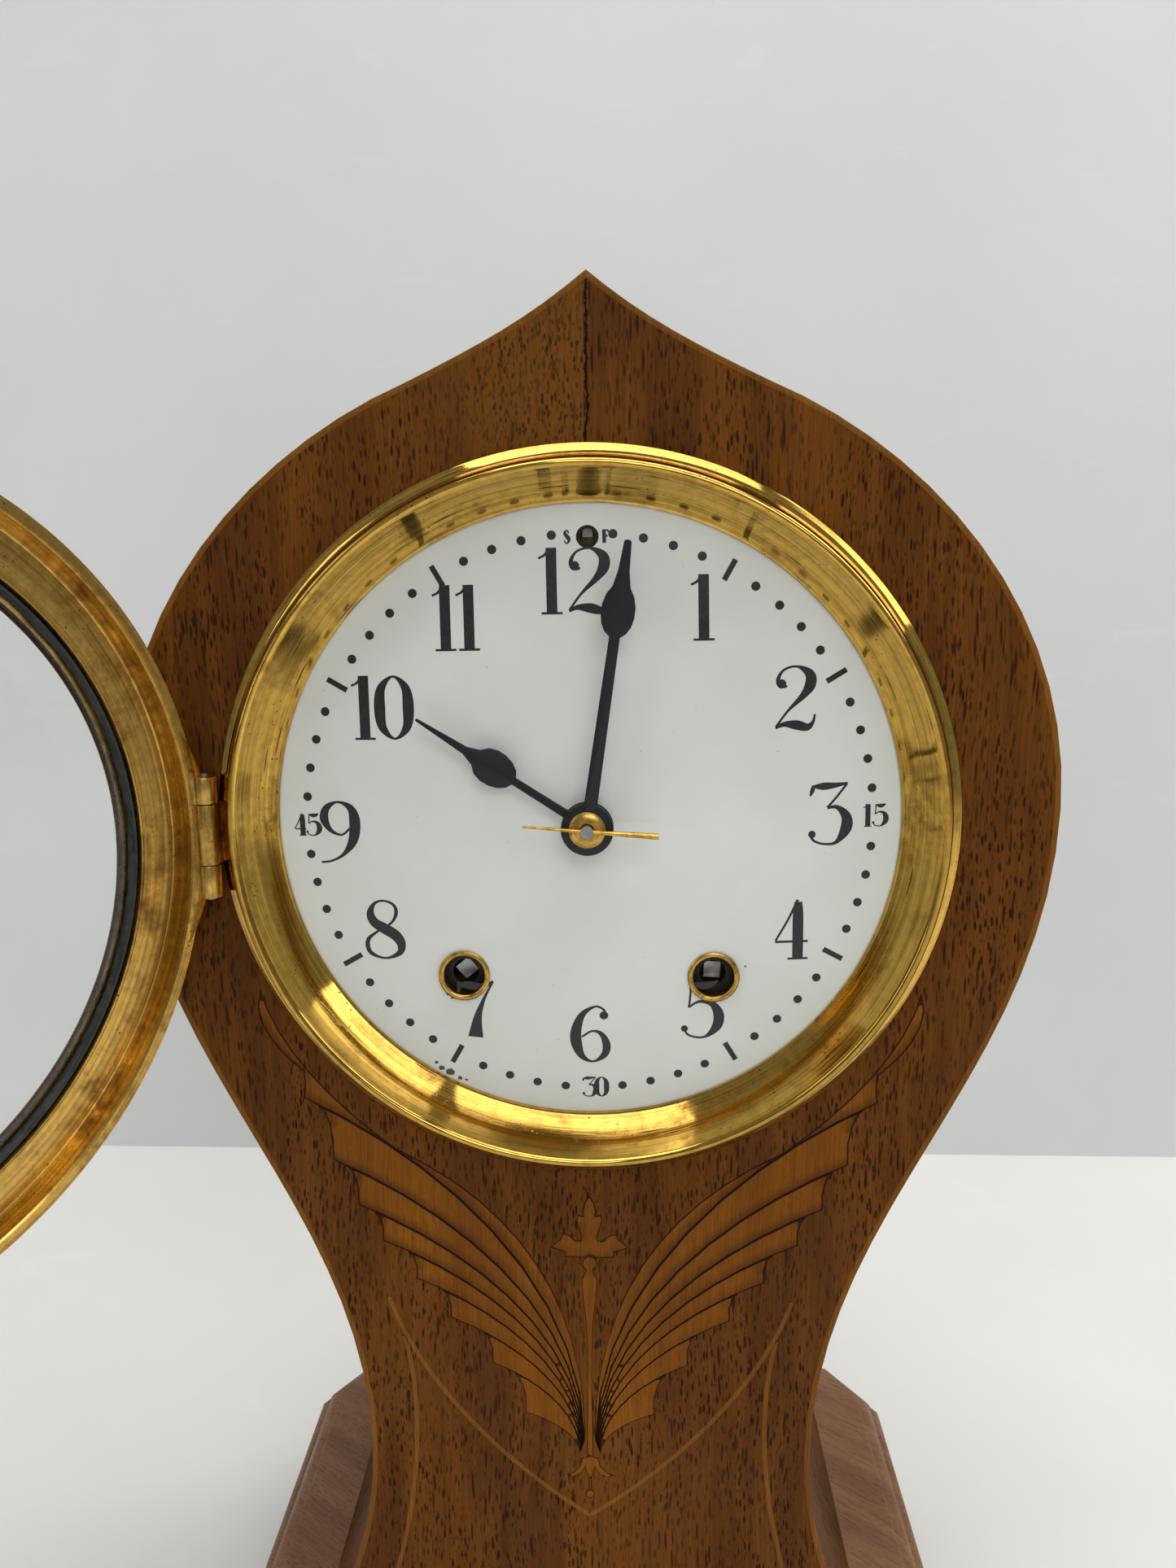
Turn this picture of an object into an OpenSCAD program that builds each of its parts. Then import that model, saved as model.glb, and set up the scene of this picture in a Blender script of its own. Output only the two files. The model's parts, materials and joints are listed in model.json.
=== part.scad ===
// Balloon mantel clock: inlaid case, hinged glazed bezel, enamel dial,
// spring driven time and strike movement with pendulum and coil gong.
// X to the right, Y to the back, Z up; origin under the middle of the base.

/* [Case] */
// Depth of the case, front face to back face
case_depth = 104; // [90:1:130]
// Thickness of the front and back panels
panel_t = 8; // [6:0.5:10]
// Thickness of the bent side shells
shell_t = 4; // [3:0.5:6]
// Height of the dial centre above the table
dial_z = 254; // [240:1:320]
// Widest width of the round part of the case
lobe_w = 206.4; // [196:0.2:250]
// Narrowest width of the waist
waist_w = 106.6; // [94:0.2:130]
// Width of the case where it meets the base
foot_w = 139; // [116:0.5:166]
// Rise of the pointed top above the dial centre
apex_h = 116; // [110:1:140]
// Width of the light edge line round the front
edge_line = 1.3; // [0.8:0.1:2]

/* [Base] */
// Width of the base board
base_w = 184; // [170:1:240]
// Depth of the base board
base_d = 130; // [120:1:170]
// Height of the feet
foot_h = 9; // [6:0.5:14]
// Height of the plinth between feet and board
plinth_h = 18; // [12:1:26]
// Thickness of the moulded base board
board_h = 15; // [12:1:20]

/* [Dial and bezel] */
// Radius of the enamel dial
dial_r = 71.5; // [58:0.5:72]
// Thickness of the enamelled plate
dial_t = 0.9; // [0.6:0.1:1.4]
// Rise of the dial's dome
dial_rise = 4; // [2:0.2:5]
// Radius of a winding hole's grommet, inside
grommet_r = 4.7; // [4:0.1:6]
// Door opening angle as displayed
door_open = 125; // [90:1:135]
// Radius of the bezel hinge's knuckles
knuckle_r = 2.75; // [2.2:0.05:3]
// Radius of the bezel hinge's pin
hinge_pin_r = 0.9; // [0.6:0.05:1.2]
// Thickness of the bevelled glass
glass_t = 2.5; // [2:0.1:3]

/* [Movement] */
// Spread of the winding arbors, left to right
arbor_spread = 56.8; // [54:0.2:62]
// Drop of the winding arbors below the dial centre
arbor_drop = 35.7; // [34:0.1:38]
// Clear space between the two plates
plate_gap = 40; // [40:0.5:50]
// Thickness of a plate
plate_t = 1.4; // [1:0.1:2]
// Radius of a mainspring's outer turn
spring_r = 22.6; // [18:0.2:23]
// Distance from the pendulum's pivot to the middle of its bob
pendulum_len = 97; // [84:1:110]
// Radius of the pendulum bob
bob_r = 17; // [14:0.5:20]

/* [Gong] */
// Outer radius of the coil gong
gong_r = 34; // [28:0.2:42]
// Thickness of the gong wire
gong_wire = 1.8; // [1.4:0.1:2.4]

/* [Back door] */
// Radius of the opening in the back panel
back_hole_r = 56; // [46:1:60]
// Radius of the back door
back_door_r = 60; // [50:1:64]

/* [Hidden] */
$fn = 64;

// Running clearance of a shaft in its hole, and a small gap between loose pieces
run_gap = 0.05;
part_gap = 0.3;
// Planes along Y
front_y = -case_depth / 2;
back_y = case_depth / 2;
panel_back_y = front_y + panel_t;
back_panel_y = back_y - panel_t;
base_top = foot_h + plinth_h + board_h;
drop = dial_z - base_top;
// The ring that frames the dial, as heights in front of the panel
ring_r = 81.8;
ring_flange_t = 2;
ring_wall_r = 79.5;
crest_r = 77;
crest_f = 6.7;
lip_r = dial_r - 1.7;
lip_f = -3.7;
ring_sheet = 0.8;
panel_hole_r = 76;
// Dial planes
dial_rim_y = front_y - lip_f + ring_sheet + 0.35;
dial_ball_r = (dial_r * dial_r + dial_rise * dial_rise) / (2 * dial_rise);
dial_front_y = dial_rim_y - dial_rise;
dial_hole_r = 4;
regulator_z = 62.6;
regulator_hole_r = 2.45;
grommet_rim_r = grommet_r + 1.2;
grommet_wall = 0.5;
// The glazed door: radii, and heights in front of the panel
door_in_r = ring_wall_r + 0.4;
door_out_r = 82.3;
door_f = ring_flange_t + 0.6;
door_band_f = crest_f + 0.6;
glass_r = 69.9;
glass_f = door_band_f + 2.5;
door_front_f = glass_f + glass_t + 0.8;
retainer_in_r = 66.8;
hinge_x = -84;
hinge_f = 3;
hinge_z = -1.5;
fixed_half = 6.7;
door_knuckle_h = [6, 7.4];
knuckle_gap = 0.2;
// Movement planes and the shafts' places, seen from the front as [x, z]
plate_front_y = panel_back_y + 6;
gap_front_y = plate_front_y + plate_t;
gap_back_y = gap_front_y + plate_gap;
plate_back_y = gap_back_y + plate_t;
great_teeth = 72;
great_m = 0.65;
second_pins = 12;
second_teeth = 40;
centre_pinion_teeth = 20;
centre_teeth = 96;
centre_m = 0.36;
third_pins = 8;
third_teeth = 96;
third_m = 0.33;
escape_pins = 8;
escape_teeth = 40;
escape_r = 12;
cam_teeth = 84;
cam_m = 0.38;
lock_pins = 8;
lock_teeth = 72;
lock_m = 0.36;
fly_pins = 8;
arbor_r = 1;
pivot_r = 0.6;
winding_r = 2.4;
key_square = 3.8;
centre_arbor_r = 1.4;
time_at = [arbor_spread / 2, -arbor_drop];
strike_at = [-arbor_spread / 2, -arbor_drop];
centre_at = [0, 0];
escape_at = [0, 29.4];
verge_at = [0, 44.4];
hammer_at = [0, -56];
regulator_at = [0, regulator_z + 1];
second_at = meet(time_at, mesh_gap(great_m, great_teeth, second_pins), centre_at,
    mesh_gap(great_m, second_teeth, centre_pinion_teeth), 1);
third_at = meet(centre_at, mesh_gap(centre_m, centre_teeth, third_pins), escape_at,
    mesh_gap(third_m, third_teeth, escape_pins), 1);
cam_at = [-second_at[0], second_at[1]];
lock_at = cam_at + mesh_gap(cam_m, cam_teeth, lock_pins) * [cos(150), sin(150)];
fly_at = lock_at + mesh_gap(lock_m, lock_teeth, fly_pins) * [cos(75), sin(75)];
// Motion work in front of the front plate
motion_y = plate_front_y - 1.6;
cannon_teeth = 12;
minute_wheel_teeth = 36;
motion_m = 0.5;
minute_pinion_teeth = 10;
hour_teeth = 40;
hour_m = motion_m * (cannon_teeth + minute_wheel_teeth) / (minute_pinion_teeth + hour_teeth);
stud_at = mesh_gap(motion_m, cannon_teeth, minute_wheel_teeth) * [cos(200), sin(200)];
// Hands
hour_hand_y = dial_front_y - 3.4;
minute_hand_y = hour_hand_y - 2.4;
washer_y = minute_hand_y - 1;
pin_y = washer_y - 1.1;
arbor_tip_y = pin_y - 1;
hand_t = 0.8;
minute_angle = 8.1;
hour_angle = 302.7;
// Suspension, pendulum and regulator behind the back plate
rod_y = plate_back_y + 9.5;
pivot_z = 54;
crutch_y = plate_back_y + 3;
crutch_drop = 40;
slide_m = 0.5;
slide_pinion_teeth = 10;
tongue_z = 80;
spring_half_w = 2.2;
strip_t = 0.3;
// Gong
gong_at = [8, -drop + 70];
gong_y = -24;
gong_depth = 3;
gong_pitch = 4;
gong_turns = 5;
hammer_y = -22.5;
// Back door
back_hinge_x = back_door_r + 4;
back_door_t = 1;
back_gap = 0.4;
back_knuckle_r = 2.2;
button_x = -back_door_r - 5;

// ---- Helpers ----

function mesh_gap(m, a, b) = m * (a + b) / 2;
function ang(a, b) = atan2(b[1] - a[1], b[0] - a[0]);
// Where a circle round a and a circle round b meet; side picks the crossing to the right or left
function meet(a, ra, b, rb, side) = let (d = norm(b - a), u = (b - a) / d,
    h = (d * d + ra * ra - rb * rb) / (2 * d), k = sqrt(ra * ra - h * h))
    let (n = u[1] > 0 ? [u[1], -u[0]] : [-u[1], u[0]]) a + h * u + side * k * n * (n[0] < 0 ? -1 : 1);
function bez(a, b, c, d, steps = 12, skip = 0) = [for (i = [skip:steps]) let (t = i / steps, s = 1 - t)
    s * s * s * a + 3 * s * s * t * b + 3 * s * t * t * c + t * t * t * d];
function flip(points) = [for (i = [len(points) - 1:-1:0]) [-points[i][0], points[i][1]]];
function back(points) = [for (i = [len(points) - 1:-1:0]) points[i]];

// A plate cut to a flat outline drawn as seen from the front, from y0 back to y1
module plate(y0, y1) {
    translate([0, y1, 0]) rotate([90, 0, 0]) linear_extrude(y1 - y0) children();
}

// A round bar along Y
module bar(r, y0, y1, fn = 32) {
    translate([0, y0, 0]) rotate([-90, 0, 0]) cylinder(r = r, h = y1 - y0, $fn = fn);
}

// A turned ring round the Y axis; the outline's second value is the height in front of y0
module turned(y0) {
    translate([0, y0, 0]) rotate([90, 0, 0]) rotate_extrude($fn = 128) children();
}

// Moves to a place on the dial's plan
module at(p) {
    translate([p[0], 0, dial_z + p[1]]) children();
}

// A line of even width through points
module strip(points, w) {
    n = len(points);
    normals = [for (i = [0:n - 1]) let (a = points[max(i - 1, 0)], b = points[min(i + 1, n - 1)],
        d = (b - a) / norm(b - a)) [-d[1], d[0]]];
    polygon(concat([for (i = [0:n - 1]) points[i] + normals[i] * w / 2],
        [for (i = [n - 1:-1:0]) points[i] - normals[i] * w / 2]));
}

// ---- Case outline, about the dial centre ----

shoulder = [38, 94];
widest = [lobe_w / 2, 4];
waist = [waist_w / 2, -156];
foot = [foot_w / 2, -drop];
top_curve = bez([0, apex_h], [12, apex_h - 9.5], [22, 101.5], shoulder, 8);
lobe_curve = bez(shoulder, [71, 80.5], [widest[0], 48], widest, 14, 1);
side_curve = bez(widest, widest - [0, 62.2], waist + [0, 64.4], waist, 18, 1);
flare_curve = bez(waist, waist - [0, 19.8], foot + [-10.5, 16.7], foot, 8, 1);
half_outline = concat(top_curve, lobe_curve, side_curve, flare_curve);

module case_outline() {
    polygon(concat(half_outline, flip([for (i = [1:len(half_outline) - 1]) half_outline[i]])));
}

module inner_outline() {
    offset(delta = -shell_t) case_outline();
}

// ---- Inlay outlines, right half, about the dial centre ----

tips = [[15.6, -146], [23.4, -132.7], [33.3, -120.8], [41.2, -110.7], [49, -100.9], [54.5, -91.7],
    [60, -80.4], [66.3, -65]];
horn_notch = [66, -58.5];
horn_tip = [75, -38.5];
crown_curve = concat(bez([1.1, -150], [2, -116], [16, -92], [44.9, -77.5]),
    bez([44.9, -77.5], [60, -66], [72, -52], horn_tip, 8, 1));
function root(i) = [2.5 - 0.17 * i, -157 + 0.5 * i];
function vein(i) = let (a = root(i), b = tips[i], d = b - a)
    bez(a, a + [0.5, d[1] * 0.5], b - [d[0] * 0.45, d[1] * 0.16], b, 10);
function scallop(a, b) = bez(a, a + [-1, (b[1] - a[1]) * 0.6], [a[0] + (b[0] - a[0]) * 0.35,
    b[1] - 0.4], b, 5, 1);

module feather(i) {
    if (i < len(tips) - 1)
        polygon(concat(vein(i), scallop(tips[i], tips[i + 1]), back(vein(i + 1))));
    else
        polygon(concat(vein(i), scallop(tips[i], horn_notch),
            bez(horn_notch, [70, -55], [78.5, -47], horn_tip, 6, 1), back(crown_curve)));
}

module both_sides() {
    children();
    mirror([1, 0]) children();
}

leaf = [[0, -88.6], [1.2, -90.7], [1.65, -92.6], [1.5, -94], [2.8, -93.6], [3.1, -95], [2.7, -97],
    [2, -99], [2, -100.2], [3.3, -100.3], [4.6, -98.9], [6.5, -98.4], [6.9, -100], [8.3, -100.9],
    [9.3, -102.1], [7.6, -102.7], [5.8, -103.2], [6, -104.6], [1.6, -104.7], [0, -104]];
stem = [[0.9, -107.6], [1.2, -108.8], [2, -110.6], [1.8, -114], [0.9, -122], [0.5, -136], [0.75, -157.5]];
husk = [[0.75, -157.8], [1.9, -158.3], [2.6, -160.6], [4.2, -162.3], [6, -162.8], [4.3, -163.6],
    [2.2, -162.6], [1.2, -160.8], [0.9, -162.2], [0.3, -163.6], [0.3, -167]];
ball_z = -168.2;
ball_r = 1.1;
knob_z = -106.2;
knob_r = 1.9;

module leaf_shape() {
    both_sides() polygon(leaf);
}

module stem_shape() {
    polygon(concat(stem, flip(stem)));
    translate([0, knob_z]) circle(r = knob_r, $fn = 32);
}

module husk_shape() {
    polygon(concat(husk, flip(husk)));
    translate([0, ball_z]) circle(r = ball_r, $fn = 24);
}

string_w = 1.2;
string_top = [48, -115.5];
v_string = bez(string_top, [43, -132], [28, -155], [0, -174.2], 14);
foot_string = bez(string_top - [1.6, 4], [40, -137], [39.5, -170], [foot[0] - 15, -drop + 1.5], 14);

module v_strings() {
    both_sides() strip(v_string, string_w);
}

module foot_strings() {
    difference() {
        both_sides() strip(foot_string, string_w);
        offset(delta = 0.1) v_strings();
    }
}

inlay_t = 1.2;
inlay_gap = 0.1;

module inlay_pockets() {
    both_sides() for (i = [0:len(tips) - 1]) offset(delta = 0.02) feather(i);
    leaf_shape();
    stem_shape();
    husk_shape();
    v_strings();
    foot_strings();
}

// ---- Case ----

module canted(w, d, cut_x, cut_y) {
    x = w / 2;
    y = d / 2;
    polygon([[x, -y + cut_y], [x, y - cut_y], [x - cut_x, y], [-x + cut_x, y], [-x, y - cut_y],
        [-x, -y + cut_y], [-x + cut_x, -y], [x - cut_x, -y]]);
}

cant_x = 13;
cant_y = 20;
step_w = 2;
ovolo_r = 7;
ovolo_steps = 7;

module board_layer(z, h, inset) {
    translate([0, 0, z]) linear_extrude(h) offset(delta = -inset) canted(base_w, base_d, cant_x, cant_y);
}

module base_board() {
    z0 = foot_h + plinth_h;
    fillet = 2.5;
    color("sienna") union() {
        board_layer(z0, board_h - ovolo_r - fillet, 0);
        for (i = [0:ovolo_steps - 1]) let (t = (i + 0.5) / ovolo_steps)
            board_layer(z0 + board_h - ovolo_r - fillet + i * ovolo_r / ovolo_steps,
                ovolo_r / ovolo_steps,
                ovolo_r * (1 - sqrt(1 - t * t)) * 0.9);
        board_layer(z0 + board_h - fillet, fillet, ovolo_r + step_w * 0.75);
    }
}

module base_plinth() {
    color("saddlebrown") translate([0, 0, foot_h]) linear_extrude(plinth_h) difference() {
        offset(delta = -5) canted(base_w, base_d, cant_x, cant_y);
        offset(delta = -17) canted(base_w, base_d, cant_x, cant_y);
    }
}

foot_r = 9;

module base_feet() {
    color("goldenrod") for (x = [-1, 1], y = [-1, 1])
        translate([x * (base_w / 2 - 20), y * (base_d / 2 - 16), 0]) rotate_extrude($fn = 48)
            polygon(concat([[0, 0], [foot_r * 0.62, 0]],
                [for (a = [-60:20:60]) [foot_r * (0.45 + 0.55 * cos(a)), foot_h * (0.46 + 0.5 * sin(a))]],
                [[foot_r * 0.6, foot_h], [0, foot_h]]));
}

module front_panel() {
    color("sienna") difference() {
        at([0, 0]) plate(front_y, panel_back_y) case_outline();
        at([0, 0]) bar(panel_hole_r, front_y - 1, panel_back_y + 1, 128);
        at([0, 0]) plate(front_y - 1, front_y + edge_line) difference() {
            offset(delta = 1) case_outline();
            offset(delta = -edge_line) case_outline();
        }
        at([0, 0]) plate(front_y - 1, front_y + inlay_t) inlay_pockets();
    }
}

module back_panel() {
    color("saddlebrown") difference() {
        at([0, 0]) plate(back_panel_y, back_y) case_outline();
        at([0, 0]) bar(back_hole_r, back_panel_y - 1, back_y + 1, 128);
    }
}

module side_shell(side) {
    shell_floor_w = 2 * (foot[0] - shell_t - 1);
    color("sienna") at([0, 0]) plate(panel_back_y, back_panel_y) intersection() {
        difference() {
            case_outline();
            inner_outline();
        }
        translate([side > 0 ? 0 : -lobe_w, -drop]) square([lobe_w, drop + apex_h + 1]);
        // The shells have no floor between their feet
        translate([-lobe_w, -drop + 0.01]) difference() {
            square([2 * lobe_w, drop + apex_h + 1]);
            translate([lobe_w - shell_floor_w / 2, -1]) square([shell_floor_w, shell_t + 1.5]);
        }
    }
}

module edge_line_inlay() {
    color("burlywood") at([0, 0]) plate(front_y, front_y + edge_line) difference() {
        case_outline();
        offset(delta = -edge_line) case_outline();
        translate([-foot[0], -drop - 1]) square([2 * foot[0], edge_line + 1.05]);
    }
}

module wing_inlay() {
    color("peru") at([0, 0]) plate(front_y, front_y + inlay_t)
        both_sides() for (i = [0:len(tips) - 1]) offset(delta = -inlay_gap) feather(i);
}

module torch_inlay() {
    color("peru") at([0, 0]) plate(front_y, front_y + inlay_t) {
        offset(delta = -inlay_gap) leaf_shape();
        offset(delta = -inlay_gap) stem_shape();
        offset(delta = -inlay_gap) husk_shape();
    }
}

module string_inlay() {
    color("burlywood") at([0, 0]) plate(front_y, front_y + inlay_t) {
        v_strings();
        foot_strings();
    }
}

block = [10, 12, 22];

module glue_blocks() {
    color("tan") for (y = [panel_back_y, back_panel_y - block[1]])
        at([0, 0]) plate(y, y + block[1]) intersection() {
            inner_outline();
            both_sides() {
                translate([widest[0] - shell_t - block[0], -8]) square([block[0], block[2]]);
                translate([waist[0] - shell_t - block[0] + 3, waist[1] - 12]) square([block[0],
                    block[2]]);
                translate([foot[0] - shell_t - 20, -drop]) square([20, 8]);
            }
        }
}

// ---- Ring, dial and glazed door ----

module reflector_ring() {
    t = ring_sheet;
    color("gold") at([0, 0]) turned(front_y)
        polygon([[ring_r, 0], [ring_r, 1.2], [ring_wall_r + 0.9, ring_flange_t],
            [ring_wall_r, ring_flange_t + 0.4], [crest_r + 1.6, crest_f - 1], [crest_r + 0.8, crest_f],
            [crest_r, crest_f], [crest_r - 0.6, crest_f - 0.9], [lip_r + 0.5, lip_f], [lip_r, lip_f - t],
            [lip_r + 1, lip_f - t], [crest_r - 0.2, crest_f - 2.3], [crest_r + 0.7, crest_f - 1.9],
            [ring_wall_r - t - 0.4, ring_flange_t], [ring_wall_r - t - 0.4, 0]]);
}

hinge_y = front_y - hinge_f;

// The hinge's fixed middle knuckle with the leaf that joins it to the ring
module hinge_knuckle() {
    color("gold") at([0, 0]) difference() {
        union() {
            translate([hinge_x, hinge_y, hinge_z - fixed_half]) cylinder(r = knuckle_r,
                h = 2 * fixed_half);
            translate([hinge_x, front_y - 1.9, hinge_z - fixed_half]) cube([8, 1.6, 2 * fixed_half]);
        }
        translate([hinge_x, hinge_y, hinge_z - fixed_half - 1]) cylinder(r = hinge_pin_r,
            h = 2 * fixed_half + 2);
        bar(ring_r, front_y - 10, front_y + 10, 128);
    }
}

pin_low = hinge_z - fixed_half - knuckle_gap - door_knuckle_h[1] - 0.6;
pin_high = hinge_z + fixed_half + knuckle_gap + door_knuckle_h[0] + 0.6;

module hinge_pin() {
    color("silver") at([0, 0]) translate([hinge_x, hinge_y, pin_low])
        cylinder(r = hinge_pin_r, h = pin_high - pin_low, $fn = 32);
}

// Turns what is drawn shut about the front hinge to the displayed angle
module opened() {
    translate([hinge_x, hinge_y, dial_z]) rotate([0, 0, -door_open]) translate([-hinge_x, -hinge_y,
        0]) children();
}

module door_profile() {
    f = door_front_f;
    polygon([[door_out_r, door_f], [door_out_r, door_f + 2.8], [door_out_r - 1, door_f + 4.4],
        [door_out_r - 2.6, door_f + 6], [door_out_r - 5, f - 1.7], [door_out_r - 8, f - 0.4],
            [glass_r + 1.5, f],
        [glass_r - 1.6, f - 0.3], [retainer_in_r, f - 1.3], [retainer_in_r,
            glass_f + glass_t + 0.02 - 0.9],
        [glass_r - 1.6, glass_f + glass_t - 0.3], [glass_r + 0.1, glass_f + glass_t - 0.6],
        [glass_r + 0.1, glass_f], [glass_r + 0.6, door_band_f], [door_in_r, door_band_f],
        [door_in_r, door_f]]);
}

module door_bezel() {
    high = hinge_z + fixed_half + knuckle_gap;
    low = hinge_z - fixed_half - knuckle_gap;
    wing = [3.6, 3.4];
    color("goldenrod") opened() difference() {
        union() {
            turned(front_y) door_profile();
            translate([hinge_x, hinge_y, high]) cylinder(r = knuckle_r, h = door_knuckle_h[0]);
            translate([hinge_x, hinge_y, low - door_knuckle_h[1]]) cylinder(r = knuckle_r,
                h = door_knuckle_h[1]);
            translate([hinge_x, hinge_y - knuckle_r, high]) cube([wing[0], wing[1], door_knuckle_h[0]]);
            translate([hinge_x, hinge_y - knuckle_r, low - door_knuckle_h[1]])
                cube([wing[0], wing[1], door_knuckle_h[1]]);
        }
        translate([hinge_x, hinge_y, low]) cylinder(r = knuckle_r + part_gap, h = high - low);
        translate([hinge_x, hinge_y, low - 20]) cylinder(r = hinge_pin_r + run_gap, h = 60, $fn = 32);
        bar(door_in_r - 0.01, front_y - door_band_f, front_y, 128);
    }
}

bevel_w = 11;

module door_glass() {
    color("lightcyan") opened() turned(front_y) polygon([[0, glass_f], [glass_r, glass_f],
        [glass_r, glass_f + glass_t - 0.7], [glass_r - bevel_w, glass_f + glass_t], [0,
            glass_f + glass_t]]);
}

module door_retainer() {
    color("dimgray") opened() turned(front_y) polygon([[retainer_in_r, door_band_f + 0.6], [glass_r,
        door_band_f + 0.2], [glass_r, glass_f],
        [retainer_in_r, glass_f]]);
}

module dial_cut(r) {
    bar(r, dial_front_y - 2, dial_rim_y + 4, 48);
}

module dial() {
    color("white") difference() {
        at([0, 0]) intersection() {
            bar(dial_r, dial_front_y - 1, dial_rim_y + dial_t + 1, 128);
            translate([0, dial_front_y + dial_ball_r, 0]) sphere(r = dial_ball_r, $fn = 256);
        }
        at([0, 0]) translate([0, dial_front_y + dial_ball_r, 0]) sphere(r = dial_ball_r - dial_t,
            $fn = 256);
        at([0, 0]) dial_cut(dial_hole_r);
        at([0, regulator_z]) dial_cut(regulator_hole_r);
        at(time_at) dial_cut(grommet_r + grommet_wall + 0.05);
        at(strike_at) dial_cut(grommet_r + grommet_wall + 0.05);
    }
}

// Brass clips that hold the dial's rim against the ring
module dial_clips() {
    y = dial_rim_y + dial_t + 0.25;
    t = 0.8;
    r = panel_hole_r - 1;
    color("gold") at([0, 0]) for (a = [90, 210, 330]) rotate([0, -a, 0]) translate([0, 0, -4]) {
        translate([dial_r - 3, y, 0]) cube([r - dial_r + 3, t, 8]);
        translate([r - t, y, 0]) cube([t, panel_back_y + t - y, 8]);
        translate([r - t, panel_back_y, 0]) cube([10, t, 8]);
    }
}

dial_y_at_holes = dial_front_y + dial_ball_r - sqrt(pow(dial_ball_r, 2) - pow(norm(time_at), 2));

module dial_grommets() {
    y = dial_y_at_holes;
    color("darkgoldenrod") for (p = [time_at, strike_at]) at(p) difference() {
        union() {
            bar(grommet_r + grommet_wall, y - 0.6, y + 2.8, 48);
            bar(grommet_rim_r, y - 1.05, y - 0.5, 48);
        }
        bar(grommet_r, y - 3, y + 5, 48);
    }
}

// ---- Hands ----

// Half outline of a spade hand up to its tip, widths at heights above the hub
minute_shape = concat([[1.5, 0], [1.15, 42]], bez([1.15, 42], [3.9, 43.2], [4.7, 49.3], [1.9, 52.6],
    6, 1),
    [[1.2, 56], [0.8, 62], [0.4, 62.4]]);
hour_shape = concat([[1, 0], [0.85, 19]], bez([0.85, 19], [3.8, 19.6], [5.6, 26.5], [1.9, 28.8], 6, 1),
    [[0.9, 31.6], [0.3, 44.1]]);
hub_r = 5.75;

module hand(shape, y, angle, hole) {
    at([0, 0]) rotate([0, angle, 0]) difference() {
        union() {
            plate(y - hand_t / 2, y + hand_t / 2) polygon(concat(shape, flip(shape)));
            bar(hub_r, y - hand_t / 2, y + hand_t / 2, 64);
        }
        bar(hole, y - 2, y + 2, 32);
    }
}

module minute_hand() {
    color("black") hand(minute_shape, minute_hand_y, minute_angle, centre_arbor_r);
}

module hour_hand() {
    color("black") hand(hour_shape, hour_hand_y, hour_angle, hour_tube_r);
}

module hand_washer() {
    color("gold") at([0, 0]) difference() {
        turned(washer_y + 0.6) polygon([[0, 0], [4, 0], [4, 0.3], [2.6, 0.9], [0, 1]]);
        bar(centre_arbor_r, washer_y - 2, washer_y + 2, 32);
    }
}

taper_tilt = 4;

module taper_pin() {
    color("gold") at([0, 0]) translate([0.8, pin_y, 0]) rotate([0, taper_tilt, 0]) rotate([0, 90, 0])
        translate([0, 0, -14.7]) cylinder(r1 = 0.25, r2 = 0.68, h = 29.4, $fn = 24);
}

// ---- Movement frame ----

pillar_at = [[46, -59], [-46, -59], [35, 51], [-35, 51]];
pillar_r = 2.2;
plate_plan = [[50, -63], [50, -16], [39, 8], [39, 55], [9, 55], [9, tongue_z], [-9, tongue_z],
    [-9, 55], [-39, 55], [-39, 8], [-50, -16], [-50, -63]];

// The plates' holes for the wheels' pivots
pivot_holes = [second_at, third_at, escape_at, cam_at, lock_at, fly_at, hammer_at];

module movement_plate(y) {
    color("gold") difference() {
        at([0, 0]) plate(y, y + plate_t) difference() {
            offset(delta = 0.01) polygon(plate_plan);
            both_sides() translate([35.5, 22]) circle(r = 9, $fn = 48);
        }
        for (p = pivot_holes) at(p) bar(pivot_r + run_gap, y - 1, y + plate_t + 1, 24);
        for (p = pillar_at) at(p) bar(1.2, y - 1, y + plate_t + 1, 24);
        for (p = [time_at, strike_at]) at(p) bar(winding_r + run_gap, y - 1, y + plate_t + 1, 32);
        at(centre_at) bar(centre_arbor_r + run_gap, y - 1, y + plate_t + 1, 32);
        for (p = [regulator_at, verge_at]) at(p) bar(arbor_r + run_gap, y - 1, y + plate_t + 1, 24);
    }
}

module front_plate() {
    difference() {
        movement_plate(plate_front_y);
        at(stud_at) bar(pivot_r + run_gap, plate_front_y - 1, gap_front_y + 1, 24);
    }
}

module back_plate() {
    movement_plate(gap_back_y);
}

module plate_pillars() {
    color("silver") for (p = pillar_at) at(p) {
        bar(pillar_r, gap_front_y, gap_back_y);
        bar(1.2, plate_front_y - 3, gap_front_y, 24);
        bar(1.2, gap_back_y, plate_back_y + 3, 24);
    }
}

nut_h = 2.2;

module pillar_nuts() {
    color("gold") for (p = pillar_at) at(p) {
        for (y = [foot_y - nut_h, plate_back_y]) difference() {
            bar(2.7, y, y + nut_h, 6);
            bar(1.2, y - 1, y + nut_h + 1, 24);
        }
    }
}

// Strap feet that carry the movement on the back of the front panel
foot_y = plate_front_y - 1.4;
strap_reach = [86, 86, 84, 84];

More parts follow.
